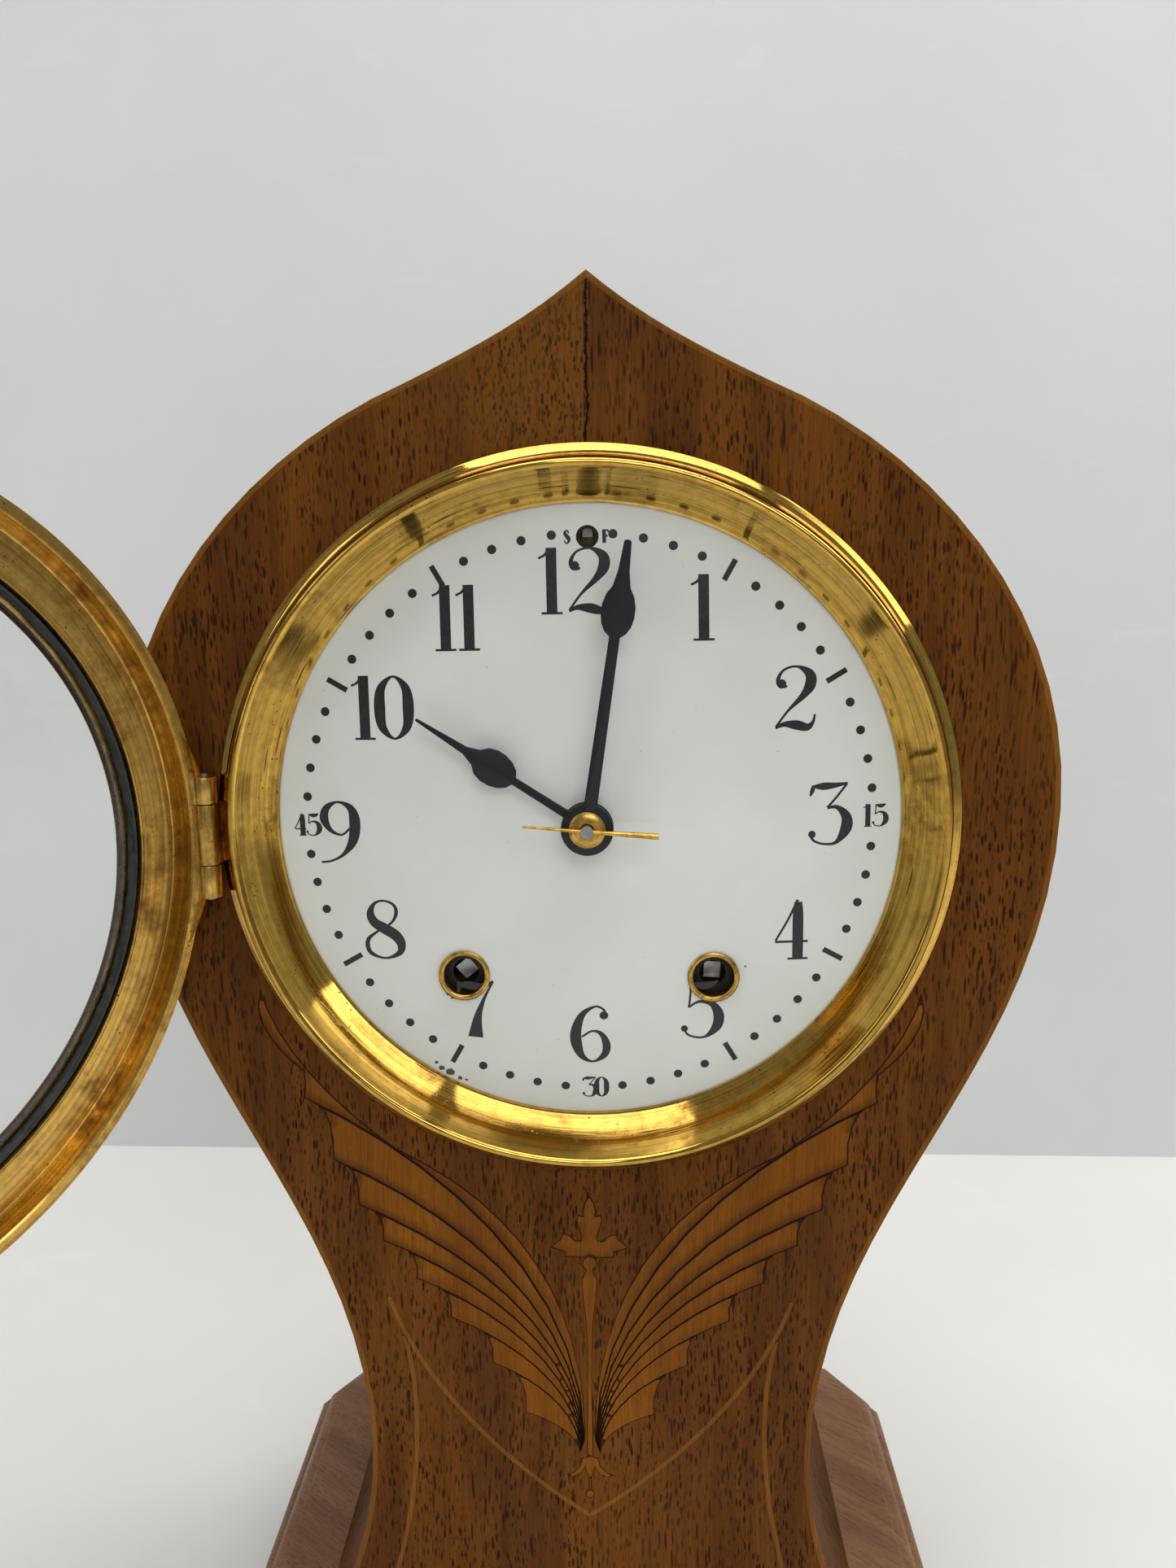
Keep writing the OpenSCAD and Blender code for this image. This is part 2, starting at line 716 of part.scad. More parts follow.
module movement_feet() {
    w = 11;
    color("gray") for (i = [0:3]) let (p = pillar_at[i], a = ang([0, 0], p), r = norm(p))
        difference() {
            at([0, 0]) rotate([0, -a, 0]) translate([0, 0, -w / 2]) {
                translate([r - 5, foot_y, 0]) cube([strap_reach[i] - r - 1, 1.4, w]);
                translate([strap_reach[i] - 7.4, panel_back_y, 0]) cube([1.4,
                    foot_y - panel_back_y + 1.4, w]);
                translate([strap_reach[i] - 7.4, panel_back_y, 0]) cube([11, 1.4, w]);
            }
            at(p) bar(1.2, foot_y - 3, plate_front_y + 1, 24);
            at([0, 0]) rotate([0, -a, 0]) translate([strap_reach[i] - 1, 0, 0])
                bar(foot_screw_r, panel_back_y - 1, foot_y, 24);
        }
}

foot_screw_r = 1.2;

// Round headed wood screws through the straps into the panel
module feet_screws() {
    color("gray") for (i = [0:3]) at([0, 0]) rotate([0, -ang([0, 0], pillar_at[i]), 0])
        translate([strap_reach[i] - 1, 0, 0]) {
            bar(foot_screw_r, panel_back_y, panel_back_y + 1.4, 24);
            bar(2.6, panel_back_y + 1.4, panel_back_y + 2.6, 32);
        }
}

// ---- Wheels ----

// A wheel's toothed outline with a tooth along +X; low and high are the tooth's half widths
module teeth(m, n, low = 0.26, high = 0.09, add = 0.95, ded = 1.25) {
    r = m * n / 2;
    p = 360 / n;
    polygon([for (i = [0:n - 1]) for (k = [[-low, -ded], [-high, add], [high, add], [low, -ded]])
        (r + k[1] * m) * [cos((i + k[0]) * p), sin((i + k[0]) * p)]]);
}

// Wheel blank with four spokes
module crossings(r_in, r_out, w) {
    difference() {
        circle(r = r_out, $fn = 64);
        circle(r = r_in, $fn = 32);
        for (a = [0, 90]) rotate(a) square([2 * r_out + 2, w], center = true);
    }
}

module spoked(m, n, bore, phase, spokes = 45) {
    r = m * n / 2;
    difference() {
        rotate(phase) teeth(m, n);
        rotate(spokes) crossings(bore + 2.6, r - 3 * m - 1.1, 2.2);
        circle(r = bore, $fn = 32);
    }
}

// Lantern pinion: two shrouds and a ring of pins, with a pin gap along the phase angle
module lantern(m, n, y0, y1, phase, cap = 0.8) {
    r = m * n / 2;
    pin = 0.62 * m;
    difference() {
        union() {
            for (y = [y0, y1 - cap]) bar(r + pin + 0.35, y, y + cap, 32);
            for (i = [0:n - 1]) rotate([0, -(phase + (i + 0.5) * 360 / n), 0]) translate([r, 0, 0])
                bar(pin, y0 + cap / 2, y1 - cap / 2, 16);
        }
        bar(arbor_r, y0 - 1, y1 + 1, 32);
    }
}

module arbor(front = gap_front_y, rear = gap_back_y, r = arbor_r) {
    bar(r, front + 0.3, rear - 0.3);
    bar(pivot_r, front - plate_t - 0.2, rear + plate_t + 0.2, 24);
}

great_y = gap_back_y - 9.4;
great_t = 1.6;
second_y = gap_front_y + 5.6;
centre_y = gap_front_y + 14.6;
third_y = gap_front_y + 22.6;
escape_y = gap_back_y - 7;
cam_y = gap_front_y + 2.2;
lock_y = gap_back_y - 4.9;
wheel_t = 1.1;
ratchet_teeth = 16;
ratchet_r = 7.5;
ratchet_y = great_y + great_t + 0.1;
ratchet_t = 1.5;
core_r = 5.5;

// Time side, then strike side: the squared arbors that a key turns
module winding_arbor(square_turn) {
    key_y = dial_y_at_holes + 5;
    union() {
        bar(winding_r, plate_front_y - 1, plate_back_y + 1, 32);
        rotate([0, square_turn, 0]) translate([-key_square / 2, key_y, -key_square / 2])
            cube([key_square, plate_front_y - key_y, key_square]);
        bar(core_r, spring_y[0], great_y - 0.4, 48);
        plate(ratchet_y, ratchet_y + ratchet_t) polygon([for (i = [0:ratchet_teeth - 1])
            let (p = 360 / ratchet_teeth) for (k = [[0, 1], [0.12, 0.84]])
                ratchet_r * k[1] * [cos((i + k[0]) * p), sin((i + k[0]) * p)]]);
    }
}

spring_y = [gap_front_y + 9, great_y - 2];

module time_arbor() {
    color("silver") at(time_at) winding_arbor(3);
}

module strike_arbor() {
    color("silver") at(strike_at) winding_arbor(50);
}

module click(side) {
    // The click and its rivet sit on the wheel, just clear of the ratchet
    translate([side * 3, 0, -11.2]) {
        plate(ratchet_y, ratchet_y + ratchet_t) polygon([[-1.8, -1.6], [1.8, -1.8], [2.2, 1],
            [-side * 2.5, 2.6],
            [-2.2, 1]]);
        bar(1, great_y + great_t, ratchet_y + ratchet_t + 0.5, 24);
    }
}

module great_wheel(p, partner) {
    at(p) {
        plate(great_y, great_y + great_t) spoked(great_m, great_teeth, winding_r + run_gap, ang(p,
            partner), 20);
        click(1);
    }
}

module time_great_wheel() {
    color("gold") great_wheel(time_at, second_at);
}

module strike_great_wheel() {
    color("gold") great_wheel(strike_at, cam_at);
}

module wheel_on(y, m, n, phase, t = wheel_t) {
    plate(y, y + t) spoked(m, n, arbor_r - 0.01, phase);
    difference() {
        bar(2.2, y - 1, y + t + 1, 32);
        bar(arbor_r - 0.01, y - 2, y + t + 2, 32);
    }
}

module second_wheel() {
    color("gold") at(second_at) union() {
        arbor();
        lantern(great_m, second_pins, great_y - 1.6, great_y + great_t + 1.6, ang(second_at, time_at));
        wheel_on(second_y, great_m, second_teeth, ang(second_at, centre_at));
    }
}

// Centre wheel: a tube on the centre arbor with a friction fit, a leaf pinion and the wheel
module centre_wheel() {
    tube = centre_arbor_r + run_gap;
    color("gold") at(centre_at) difference() {
        union() {
            bar(2.2, gap_front_y + 3, gap_back_y - 3, 32);
            plate(second_y - 1, second_y + wheel_t + 1)
                rotate(ang(centre_at, second_at) + 180 / centre_pinion_teeth) teeth(great_m,
                    centre_pinion_teeth);
            plate(centre_y, centre_y + wheel_t) rotate(ang(centre_at, third_at)) difference() {
                teeth(centre_m, centre_teeth);
                crossings(5, centre_m * centre_teeth / 2 - 2.2, 2.2);
            }
        }
        bar(tube, gap_front_y, gap_back_y, 32);
    }
}

module third_wheel() {
    color("gold") at(third_at) union() {
        arbor();
        lantern(centre_m, third_pins, centre_y - 1.6, centre_y + wheel_t + 1.6, ang(third_at,
            centre_at), 0.7);
        wheel_on(third_y, third_m, third_teeth, ang(third_at, escape_at));
    }
}

module escape_wheel() {
    p = 360 / escape_teeth;
    color("gold") at(escape_at) union() {
        arbor();
        lantern(third_m, escape_pins, third_y - 1.6, third_y + wheel_t + 1.6, ang(escape_at,
            third_at), 0.7);
        plate(escape_y, escape_y + 0.9) difference() {
            polygon([for (i = [0:escape_teeth - 1]) for (k = [[0, 1], [0.16, 1], [0.42, 0.88], [0.86,
                0.88]])
                escape_r * k[1] * [cos((i + k[0]) * p), sin((i + k[0]) * p)]]);
            rotate(45) crossings(3.2, 8.8, 1.8);
            circle(r = arbor_r - 0.01, $fn = 32);
        }
        difference() {
            bar(2, escape_y - 1, escape_y + 1.9, 32);
            bar(arbor_r - 0.01, escape_y - 2, escape_y + 3, 32);
        }
    }
}

// Bent strip pallets on their arbor, with the crutch that leads the pendulum
module verge() {
    pallet = [[0, 2.4], [9.6, -0.2], [13.2, -8.2], [12.4, -8.6], [8.6, -1.8], [0, 0.6]];
    color("silver") at(verge_at) union() {
        bar(arbor_r, plate_front_y - 0.2, crutch_y + 0.5);
        plate(escape_y - 1, escape_y + 2) both_sides() polygon(pallet);
        plate(crutch_y - 0.5, crutch_y + 0.5) translate([-0.8, -crutch_drop]) square([1.6, crutch_drop]);
        for (x = [-1, 1]) translate([x * 1.9 - 0.45, crutch_y - 0.5, -crutch_drop - 0.5])
            cube([0.9, rod_y - crutch_y + 3, 1]);
        translate([-2.35, crutch_y - 0.5, -crutch_drop - 0.5]) cube([4.7, 1, 1]);
        translate([-2.35, rod_y + 1.5, -crutch_drop - 0.5]) cube([4.7, 1, 1]);
    }
}

// Both open mainsprings, wound outwards from the arbors
module mainsprings() {
    turns = 8;
    steps = 20;
    t = 0.5;
    run = [for (i = [0:turns * steps]) let (r = core_r + 0.6
        + (spring_r - core_r - 0.9) * i / (turns * steps),
        a = i * 360 / steps) r * [cos(a), sin(a)]];
    color("slategray") for (p = [time_at, strike_at]) at(p)
        plate(spring_y[0] + 1, spring_y[1] - 1) strip(run, t);
}

// ---- Motion work ----

hour_tube_r = 2.5;
minute_tube_r = 1.9;

module centre_arbor() {
    color("silver") at([0, 0]) union() {
        difference() {
            bar(centre_arbor_r, arbor_tip_y, plate_back_y + 1);
            translate([0.8, pin_y, 0]) rotate([0, taper_tilt, 0]) rotate([0, 90, 0])
                translate([0, 0, -14.7]) cylinder(r1 = 0.25, r2 = 0.68, h = 29.4, $fn = 24);
        }
        difference() {
            bar(minute_tube_r, minute_hand_y + hand_t / 2, plate_front_y - 0.3);
            bar(centre_arbor_r - 0.01, dial_front_y - 20, plate_front_y + 1);
        }
        plate(motion_y, motion_y + 1.2) difference() {
            rotate(ang([0, 0], stud_at) + 180 / cannon_teeth) teeth(motion_m, cannon_teeth);
            circle(r = minute_tube_r - 0.01, $fn = 32);
        }
    }
}

hour_gear_y = motion_y - 2;

module minute_wheel() {
    color("gold") at(stud_at) union() {
        plate(motion_y + 0.1, motion_y + 1.1) rotate(ang(stud_at, [0, 0])) teeth(motion_m,
            minute_wheel_teeth);
        plate(hour_gear_y - 0.2, motion_y + 0.2) rotate(ang(stud_at, [0, 0]) + 180 / minute_pinion_teeth)
            teeth(hour_m, minute_pinion_teeth);
        bar(pivot_r, motion_y + 0.5, gap_front_y + 0.3, 24);
    }
}

module hour_wheel() {
    color("gold") at([0, 0]) difference() {
        union() {
            plate(hour_gear_y, hour_gear_y + 1) rotate(ang([0, 0], stud_at)) teeth(hour_m, hour_teeth);
            bar(hour_tube_r, hour_hand_y - hand_t / 2, hour_gear_y + 1);
        }
        bar(minute_tube_r + run_gap, dial_front_y - 20, hour_gear_y + 3);
    }
}

// ---- Pendulum and regulator ----

module suspension_post() {
    z = tongue_z - 4;
    color("gold") at([0, 0]) union() {
        translate([-7, plate_back_y, z - 4]) cube([14, 1.6, 8]);
        translate([-3, plate_back_y, z - 2]) cube([6, rod_y - plate_back_y + 3, 4]);
        translate([-spring_half_w, rod_y - strip_t / 2, pivot_z + 0.2]) cube([2 * spring_half_w,
            strip_t, z - 1.8 - pivot_z]);
    }
}

module suspension_spring() {
    color("silver") at([0, 0]) translate([-spring_half_w, rod_y - strip_t / 2, pivot_z - 9])
        cube([2 * spring_half_w, strip_t, 9]);
}

bob_z = pivot_z - pendulum_len;
rod_r = 0.8;

module pendulum_rod() {
    color("gold") at([0, 0]) union() {
        difference() {
            translate([-3, rod_y - 1.2, pivot_z - 13]) cube([6, 2.4, 6]);
            translate([-spring_half_w, rod_y - strip_t / 2, pivot_z - 9]) cube([2 * spring_half_w,
                strip_t, 9]);
        }
        translate([0, rod_y, bob_z - bob_r - 5]) cylinder(r = rod_r,
            h = pivot_z - 12 - bob_z + bob_r + 5, $fn = 32);
        translate([0, rod_y, bob_z - bob_r - 3.4]) cylinder(r = 2.6, h = 2.4, $fn = 24);
    }
}

module pendulum_bob() {
    half = 4.2;
    lens = (bob_r * bob_r + half * half) / (2 * half);
    reach = asin(bob_r / lens);
    side = [for (i = [0:10]) let (a = reach * (1 - i / 10)) [lens * sin(a),
        0.25 + half - lens * (1 - cos(a))]];
    color("gold") at([0, bob_z]) difference() {
        turned(rod_y) polygon(concat(side, back([for (p = side) [p[0], -p[1]]])));
        translate([0, rod_y, -bob_r - 2]) cylinder(r = rod_r, h = 2 * bob_r + 4, $fn = 32);
    }
}

slide_y = plate_back_y + 1.2;
slide_t = 2;

module regulator_arbor() {
    tip_y = front_y + 6.4;
    color("silver") at(regulator_at) union() {
        bar(arbor_r, plate_front_y - 1, slide_y + slide_t + 0.5);
        bar(1.5, gap_front_y + 0.3, gap_front_y + 1.3);
        bar(1.5, gap_back_y - 1.3, gap_back_y - 0.3);
        translate([-1.1, tip_y, -1.1]) cube([2.2, plate_front_y - tip_y, 2.2]);
        plate(slide_y, slide_y + slide_t) rotate(180 / slide_pinion_teeth) teeth(slide_m,
            slide_pinion_teeth);
    }
}

// Rack and chops that slide up and down beside the regulator's pinion
module regulator_slide() {
    x0 = slide_m * slide_pinion_teeth / 2;
    pitch = PI * slide_m;
    color("gold") at([0, 0]) union() {
        plate(slide_y, slide_y + slide_t) translate([0, regulator_at[1]]) polygon(concat(
            [[x0 + 3.4, -10], [x0 + 3.4, 5.4]], [for (i = [3:-1:-3]) for (k = [[0.26, 1.25], [0.09,
                -0.95],
                [-0.09, -0.95], [-0.26, 1.25]]) [x0 + k[1] * slide_m, (i + k[0]) * pitch]],
            [[x0 + 0.65, -10]]));
        translate([x0 + 0.9, slide_y, pivot_z]) cube([2.5, rod_y - slide_y + 1.8, 2.4]);
        difference() {
            translate([-3.4, rod_y - 1.8, pivot_z]) cube([x0 + 6.8, 3.6, 2.4]);
            translate([-2.5, rod_y - 0.4, pivot_z - 1]) cube([5, 0.8, 5]);
        }
    }
}

// ---- Strike side ----

module strike_cam_wheel() {
    color("gold") at(cam_at) union() {
        arbor();
        lantern(great_m, second_pins, great_y - 1.6, great_y + great_t + 1.6, ang(cam_at, strike_at));
        wheel_on(cam_y, cam_m, cam_teeth, ang(cam_at, lock_at), 1);
    }
}

module locking_wheel() {
    color("gold") at(lock_at) union() {
        arbor();
        lantern(cam_m, lock_pins, cam_y - 1.2, cam_y + 2.2, ang(lock_at, cam_at), 0.6);
        wheel_on(lock_y, lock_m, lock_teeth, ang(lock_at, fly_at), 1);
    }
}

module strike_fly() {
    color("gold") at(fly_at) union() {
        arbor();
        lantern(lock_m, fly_pins, lock_y - 1.6, lock_y + 2.6, ang(fly_at, lock_at), 0.7);
        translate([-7, gap_front_y + 9, -0.4]) cube([14, 17, 0.8]);
        bar(1.6, gap_front_y + 9, gap_front_y + 26, 32);
    }
}

hammer_head_at = [-24.4, -62];
head_r = 4;

module hammer() {
    rod = norm(hammer_head_at);
    a = atan2(hammer_head_at[0], -hammer_head_at[1]);
    color("dimgray") at(hammer_at) union() {
        arbor();
        bar(2, hammer_y - 3, hammer_y + 3);
        rotate([0, -a, 0]) mirror([0, 0, 1]) mirror([1, 0, 0]) translate([0, hammer_y, 0])
            cylinder(r = 0.9, h = rod, $fn = 24);
        translate([hammer_head_at[0] - 6.5, hammer_y, hammer_head_at[1]]) rotate([0, 90, 0])
            cylinder(r = head_r, h = 11, $fn = 32);
    }
}

module gong_coil() {
    steps = 24;
    run = [for (i = [0:gong_turns * steps]) let (r = gong_r - gong_wire / 2 - gong_pitch * i / steps,
        a = 200 - i * 360 / steps) r * [cos(a), sin(a)]];
    inner_r = gong_r - gong_wire / 2 - gong_pitch * gong_turns;
    color("slategray") at(gong_at) plate(gong_y, gong_y + gong_depth) {
        strip(run, gong_wire);
        strip([inner_r * [cos(200), sin(200)], [-4, -1.2], [0, 0]], gong_wire);
    }
}

module gong_block() {
    y = gong_y + gong_depth;
    h = drop + gong_at[1];
    color("dimgray") at([gong_at[0], -drop]) union() {
        translate([-26, y - 2, 0]) cube([52, 26, 5]);
        translate([-7, y + 1, 0]) cube([14, 10, h + 7]);
        translate([0, 0, h]) bar(4, y, y + 1.5, 32);
        for (x = [-20, 20]) translate([x, y + 11, 4]) cylinder(r = 3.2, h = 3, $fn = 32);
    }
}

// ---- Back door ----

back_leaf = 9;
back_half = 9;

module back_door() {
    y0 = back_y + back_gap;
    color("goldenrod") at([0, 0]) difference() {
        union() {
            translate([0, y0, 0]) rotate([-90, 0, 0]) rotate_extrude($fn = 128)
                polygon([[0, 0], [back_door_r, 0], [back_door_r, 2], [back_door_r - 1.6, 2.4],
                    [back_door_r - 3, 1.4], [back_door_r - 3.6, back_door_t], [0, back_door_t]]);
            for (z = [back_half / 3 + 0.15, -back_half]) {
                translate([back_hinge_x, back_hinge_y, z]) cylinder(r = back_knuckle_r,
                    h = back_half * 2 / 3 - 0.15);
                translate([back_door_r - 6, y0 + 0.2, z]) cube([back_leaf + 1, 1,
                    back_half * 2 / 3 - 0.15]);
            }
        }
        translate([back_hinge_x, back_hinge_y, -20]) cylinder(r = back_pin_r + run_gap, h = 40, $fn = 32);
    }
}

back_pin_r = 0.8;
back_hinge_y = back_y + back_knuckle_r + 0.2;

module back_hinge() {
    h = back_half / 3;
    color("goldenrod") at([0, 0]) difference() {
        union() {
            translate([back_hinge_x, back_hinge_y, -h]) cylinder(r = back_knuckle_r, h = 2 * h);
            translate([back_hinge_x, back_y, -h]) cube([back_leaf + 3, 1, 2 * h]);
            translate([back_hinge_x + back_leaf, back_y + 1, 0]) bar(1.7, 0, 0.8, 24);
        }
        translate([back_hinge_x, back_hinge_y, -20]) cylinder(r = back_pin_r, h = 40, $fn = 32);
    }
}

module back_hinge_pin() {
    color("silver") at([0, 0]) translate([back_hinge_x, back_hinge_y, -back_half - 0.5])
        cylinder(r = back_pin_r, h = 2 * back_half + 1, $fn = 32);
}

button_w = 4;
button_reach = 11;

// Stands upright, clear of the back door; a quarter turn holds the door shut
module turn_button() {
    y0 = back_y + back_gap + 2.9;
    color("goldenrod") at([button_x, 0]) union() {
        bar(1.2, back_y, y0 + 1, 24);
        bar(2.6, back_y, y0, 32);
        plate(y0, y0 + 1.2) union() {
            circle(r = 3.6, $fn = 32);
            translate([-button_w / 2, 0]) square([button_w, button_reach]);
            translate([0, button_reach]) circle(r = button_w / 2, $fn = 24);
        }
    }
}

base_board();
base_plinth();
base_feet();
front_panel();
back_panel();
side_shell(-1);  // side_shell_left
side_shell(1);  // side_shell_right
edge_line_inlay();
wing_inlay();
torch_inlay();
string_inlay();
glue_blocks();
reflector_ring();
hinge_knuckle();
hinge_pin();
door_bezel();
door_glass();
door_retainer();
dial();
dial_clips();
dial_grommets();
minute_hand();
hour_hand();
hand_washer();
taper_pin();
front_plate();
back_plate();
plate_pillars();
pillar_nuts();
movement_feet();
feet_screws();
centre_arbor();
centre_wheel();
minute_wheel();
hour_wheel();
time_arbor();
time_great_wheel();
second_wheel();
third_wheel();
escape_wheel();
verge();
mainsprings();
suspension_post();
suspension_spring();
pendulum_rod();
pendulum_bob();
regulator_arbor();
regulator_slide();
strike_arbor();
strike_great_wheel();
strike_cam_wheel();
locking_wheel();
strike_fly();
hammer();
gong_coil();
gong_block();
back_door();
back_hinge();
back_hinge_pin();
turn_button();
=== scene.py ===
import bpy
import bmesh
import numpy as np
import json
import math
import random
from mathutils import Matrix, Vector, noise

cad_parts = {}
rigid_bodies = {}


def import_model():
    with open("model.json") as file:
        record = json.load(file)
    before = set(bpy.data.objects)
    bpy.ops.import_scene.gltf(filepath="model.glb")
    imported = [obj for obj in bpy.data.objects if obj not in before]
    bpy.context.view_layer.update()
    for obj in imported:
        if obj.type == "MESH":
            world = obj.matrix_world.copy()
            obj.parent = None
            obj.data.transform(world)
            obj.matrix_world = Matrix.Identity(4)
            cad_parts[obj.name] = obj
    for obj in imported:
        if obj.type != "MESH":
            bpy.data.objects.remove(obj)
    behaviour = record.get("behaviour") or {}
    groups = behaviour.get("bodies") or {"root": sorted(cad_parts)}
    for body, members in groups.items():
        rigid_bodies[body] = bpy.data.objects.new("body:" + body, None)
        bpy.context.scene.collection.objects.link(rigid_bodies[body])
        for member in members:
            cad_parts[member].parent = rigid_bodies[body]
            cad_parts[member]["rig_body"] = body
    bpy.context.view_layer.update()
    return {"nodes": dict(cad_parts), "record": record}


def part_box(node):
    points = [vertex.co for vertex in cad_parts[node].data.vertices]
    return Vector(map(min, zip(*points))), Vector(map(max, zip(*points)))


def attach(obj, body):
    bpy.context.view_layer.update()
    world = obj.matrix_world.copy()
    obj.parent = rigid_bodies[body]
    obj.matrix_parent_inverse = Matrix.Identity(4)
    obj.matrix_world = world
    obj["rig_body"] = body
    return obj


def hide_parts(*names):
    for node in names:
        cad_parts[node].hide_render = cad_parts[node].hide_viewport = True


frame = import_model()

mm = 0.001
mergeDistance = 2e-6
random.seed(41)

# places that several pieces share, in millimetres: depth is the world's Y, front is negative
clock = {
    "dialHeight": 254.0,
    "frontFace": -52.0,
    "hingeAcross": -84.0,
    "hingeDepth": -55.0,
    "doorTurn": -125.0,
    "domeFront": -51.15,
    "domeRadius": 641.03,
    "dialRadius": 71.5,
    "marksTurn": 1.03,
    "windingAcross": 28.4,
    "windingDrop": -35.7,
    "regulatorUp": 62.6,
}


def deselectAll():
    if bpy.context.mode != "OBJECT":
        bpy.ops.object.mode_set(mode="OBJECT")
    bpy.ops.object.select_all(action="DESELECT")


def makeActive(obj):
    deselectAll()
    obj.select_set(True)
    bpy.context.view_layer.objects.active = obj


def placed(across, depth, up):
    return Vector((across * mm, depth * mm, (clock["dialHeight"] + up) * mm))


# materials: shared effects

def addNode(tree, kind, **settings):
    node = tree.nodes.new(kind)
    for key, value in settings.items():
        setattr(node, key, value)
    return node


def feed(tree, socket, value):
    if isinstance(value, bpy.types.NodeSocket):
        tree.links.new(value, socket)
    elif value is not None:
        socket.default_value = value


def calc(tree, operation, a, b=None, c=None):
    node = addNode(tree, "ShaderNodeMath", operation=operation)
    for socket, value in zip(node.inputs, (a, b, c)):
        feed(tree, socket, value)
    return node.outputs[0]


def times(tree, a, b):
    return calc(tree, "MULTIPLY", a, b)


def plus(tree, a, b):
    return calc(tree, "ADD", a, b)


def minus(tree, a, b):
    return calc(tree, "SUBTRACT", a, b)


def splitAxes(tree, vector):
    node = addNode(tree, "ShaderNodeSeparateXYZ")
    feed(tree, node.inputs[0], vector)
    return node.outputs


def joinAxes(tree, *values):
    node = addNode(tree, "ShaderNodeCombineXYZ")
    for socket, value in zip(node.inputs, values):
        feed(tree, socket, value)
    return node.outputs[0]


def ramp(tree, value, low, high, toLow=0.0, toHigh=1.0):
    node = addNode(tree, "ShaderNodeMapRange", clamp=True, interpolation_type="SMOOTHSTEP")
    for socket, item in zip(node.inputs, (value, low, high, toLow, toHigh)):
        feed(tree, socket, item)
    return node.outputs[0]


def blendColour(tree, amount, a, b, kind="MIX"):
    node = addNode(tree, "ShaderNodeMix", data_type="RGBA", blend_type=kind)
    feed(tree, node.inputs[0], amount)
    feed(tree, node.inputs[6], a)
    feed(tree, node.inputs[7], b)
    return node.outputs[2]


def scaled(tree, vector, scale, location=(0, 0, 0), turn=(0, 0, 0)):
    node = addNode(tree, "ShaderNodeMapping")
    feed(tree, node.inputs["Vector"], vector)
    node.inputs["Location"].default_value = location
    node.inputs["Rotation"].default_value = [math.radians(a) for a in turn]
    node.inputs["Scale"].default_value = scale
    return node.outputs[0]


def cloud(tree, vector, scale, detail=2.0, rough=0.5, distortion=0.0, location=(0, 0, 0)):
    place = scaled(tree, vector, scale, location)
    node = addNode(tree, "ShaderNodeTexNoise")
    feed(tree, node.inputs["Vector"], place)
    for label, value in (("Scale", 1.0), ("Detail", detail), ("Roughness", rough),
                         ("Distortion", distortion)):
        node.inputs[label].default_value = value
    return node.outputs[0]


def cells(tree, vector, scale, location=(0, 0, 0), turn=(0, 0, 0)):
    place = scaled(tree, vector, scale, location, turn)
    node = addNode(tree, "ShaderNodeTexVoronoi", feature="F1")
    feed(tree, node.inputs["Vector"], place)
    node.inputs["Scale"].default_value = 1.0
    return node.outputs["Distance"]


def newGroup(name, inputs, outputs):
    tree = bpy.data.node_groups.new(name, "ShaderNodeTree")
    for label, kind, start in inputs:
        socket = tree.interface.new_socket(name=label, in_out="INPUT", socket_type="NodeSocket" + kind)
        if start is not None:
            socket.default_value = start
    for label, kind in outputs:
        tree.interface.new_socket(name=label, in_out="OUTPUT", socket_type="NodeSocket" + kind)
    return tree, addNode(tree, "NodeGroupInput"), addNode(tree, "NodeGroupOutput")


# distance from the turning axis, way round it and depth, all in metres
def buildTurnedGroup():
    tree, start, end = newGroup("turnedCoordinates", [("Vector", "Vector", None)], [("Turned", "Vector")])
    x, y, z = splitAxes(tree, start.outputs["Vector"])
    radius = calc(tree, "SQRT", plus(tree, times(tree, x, x), times(tree, z, z)))
    angle = calc(tree, "ARCTAN2", z, x)
    feed(tree, end.inputs["Turned"], joinAxes(tree, radius, times(tree, angle, 0.08), y))
    return tree


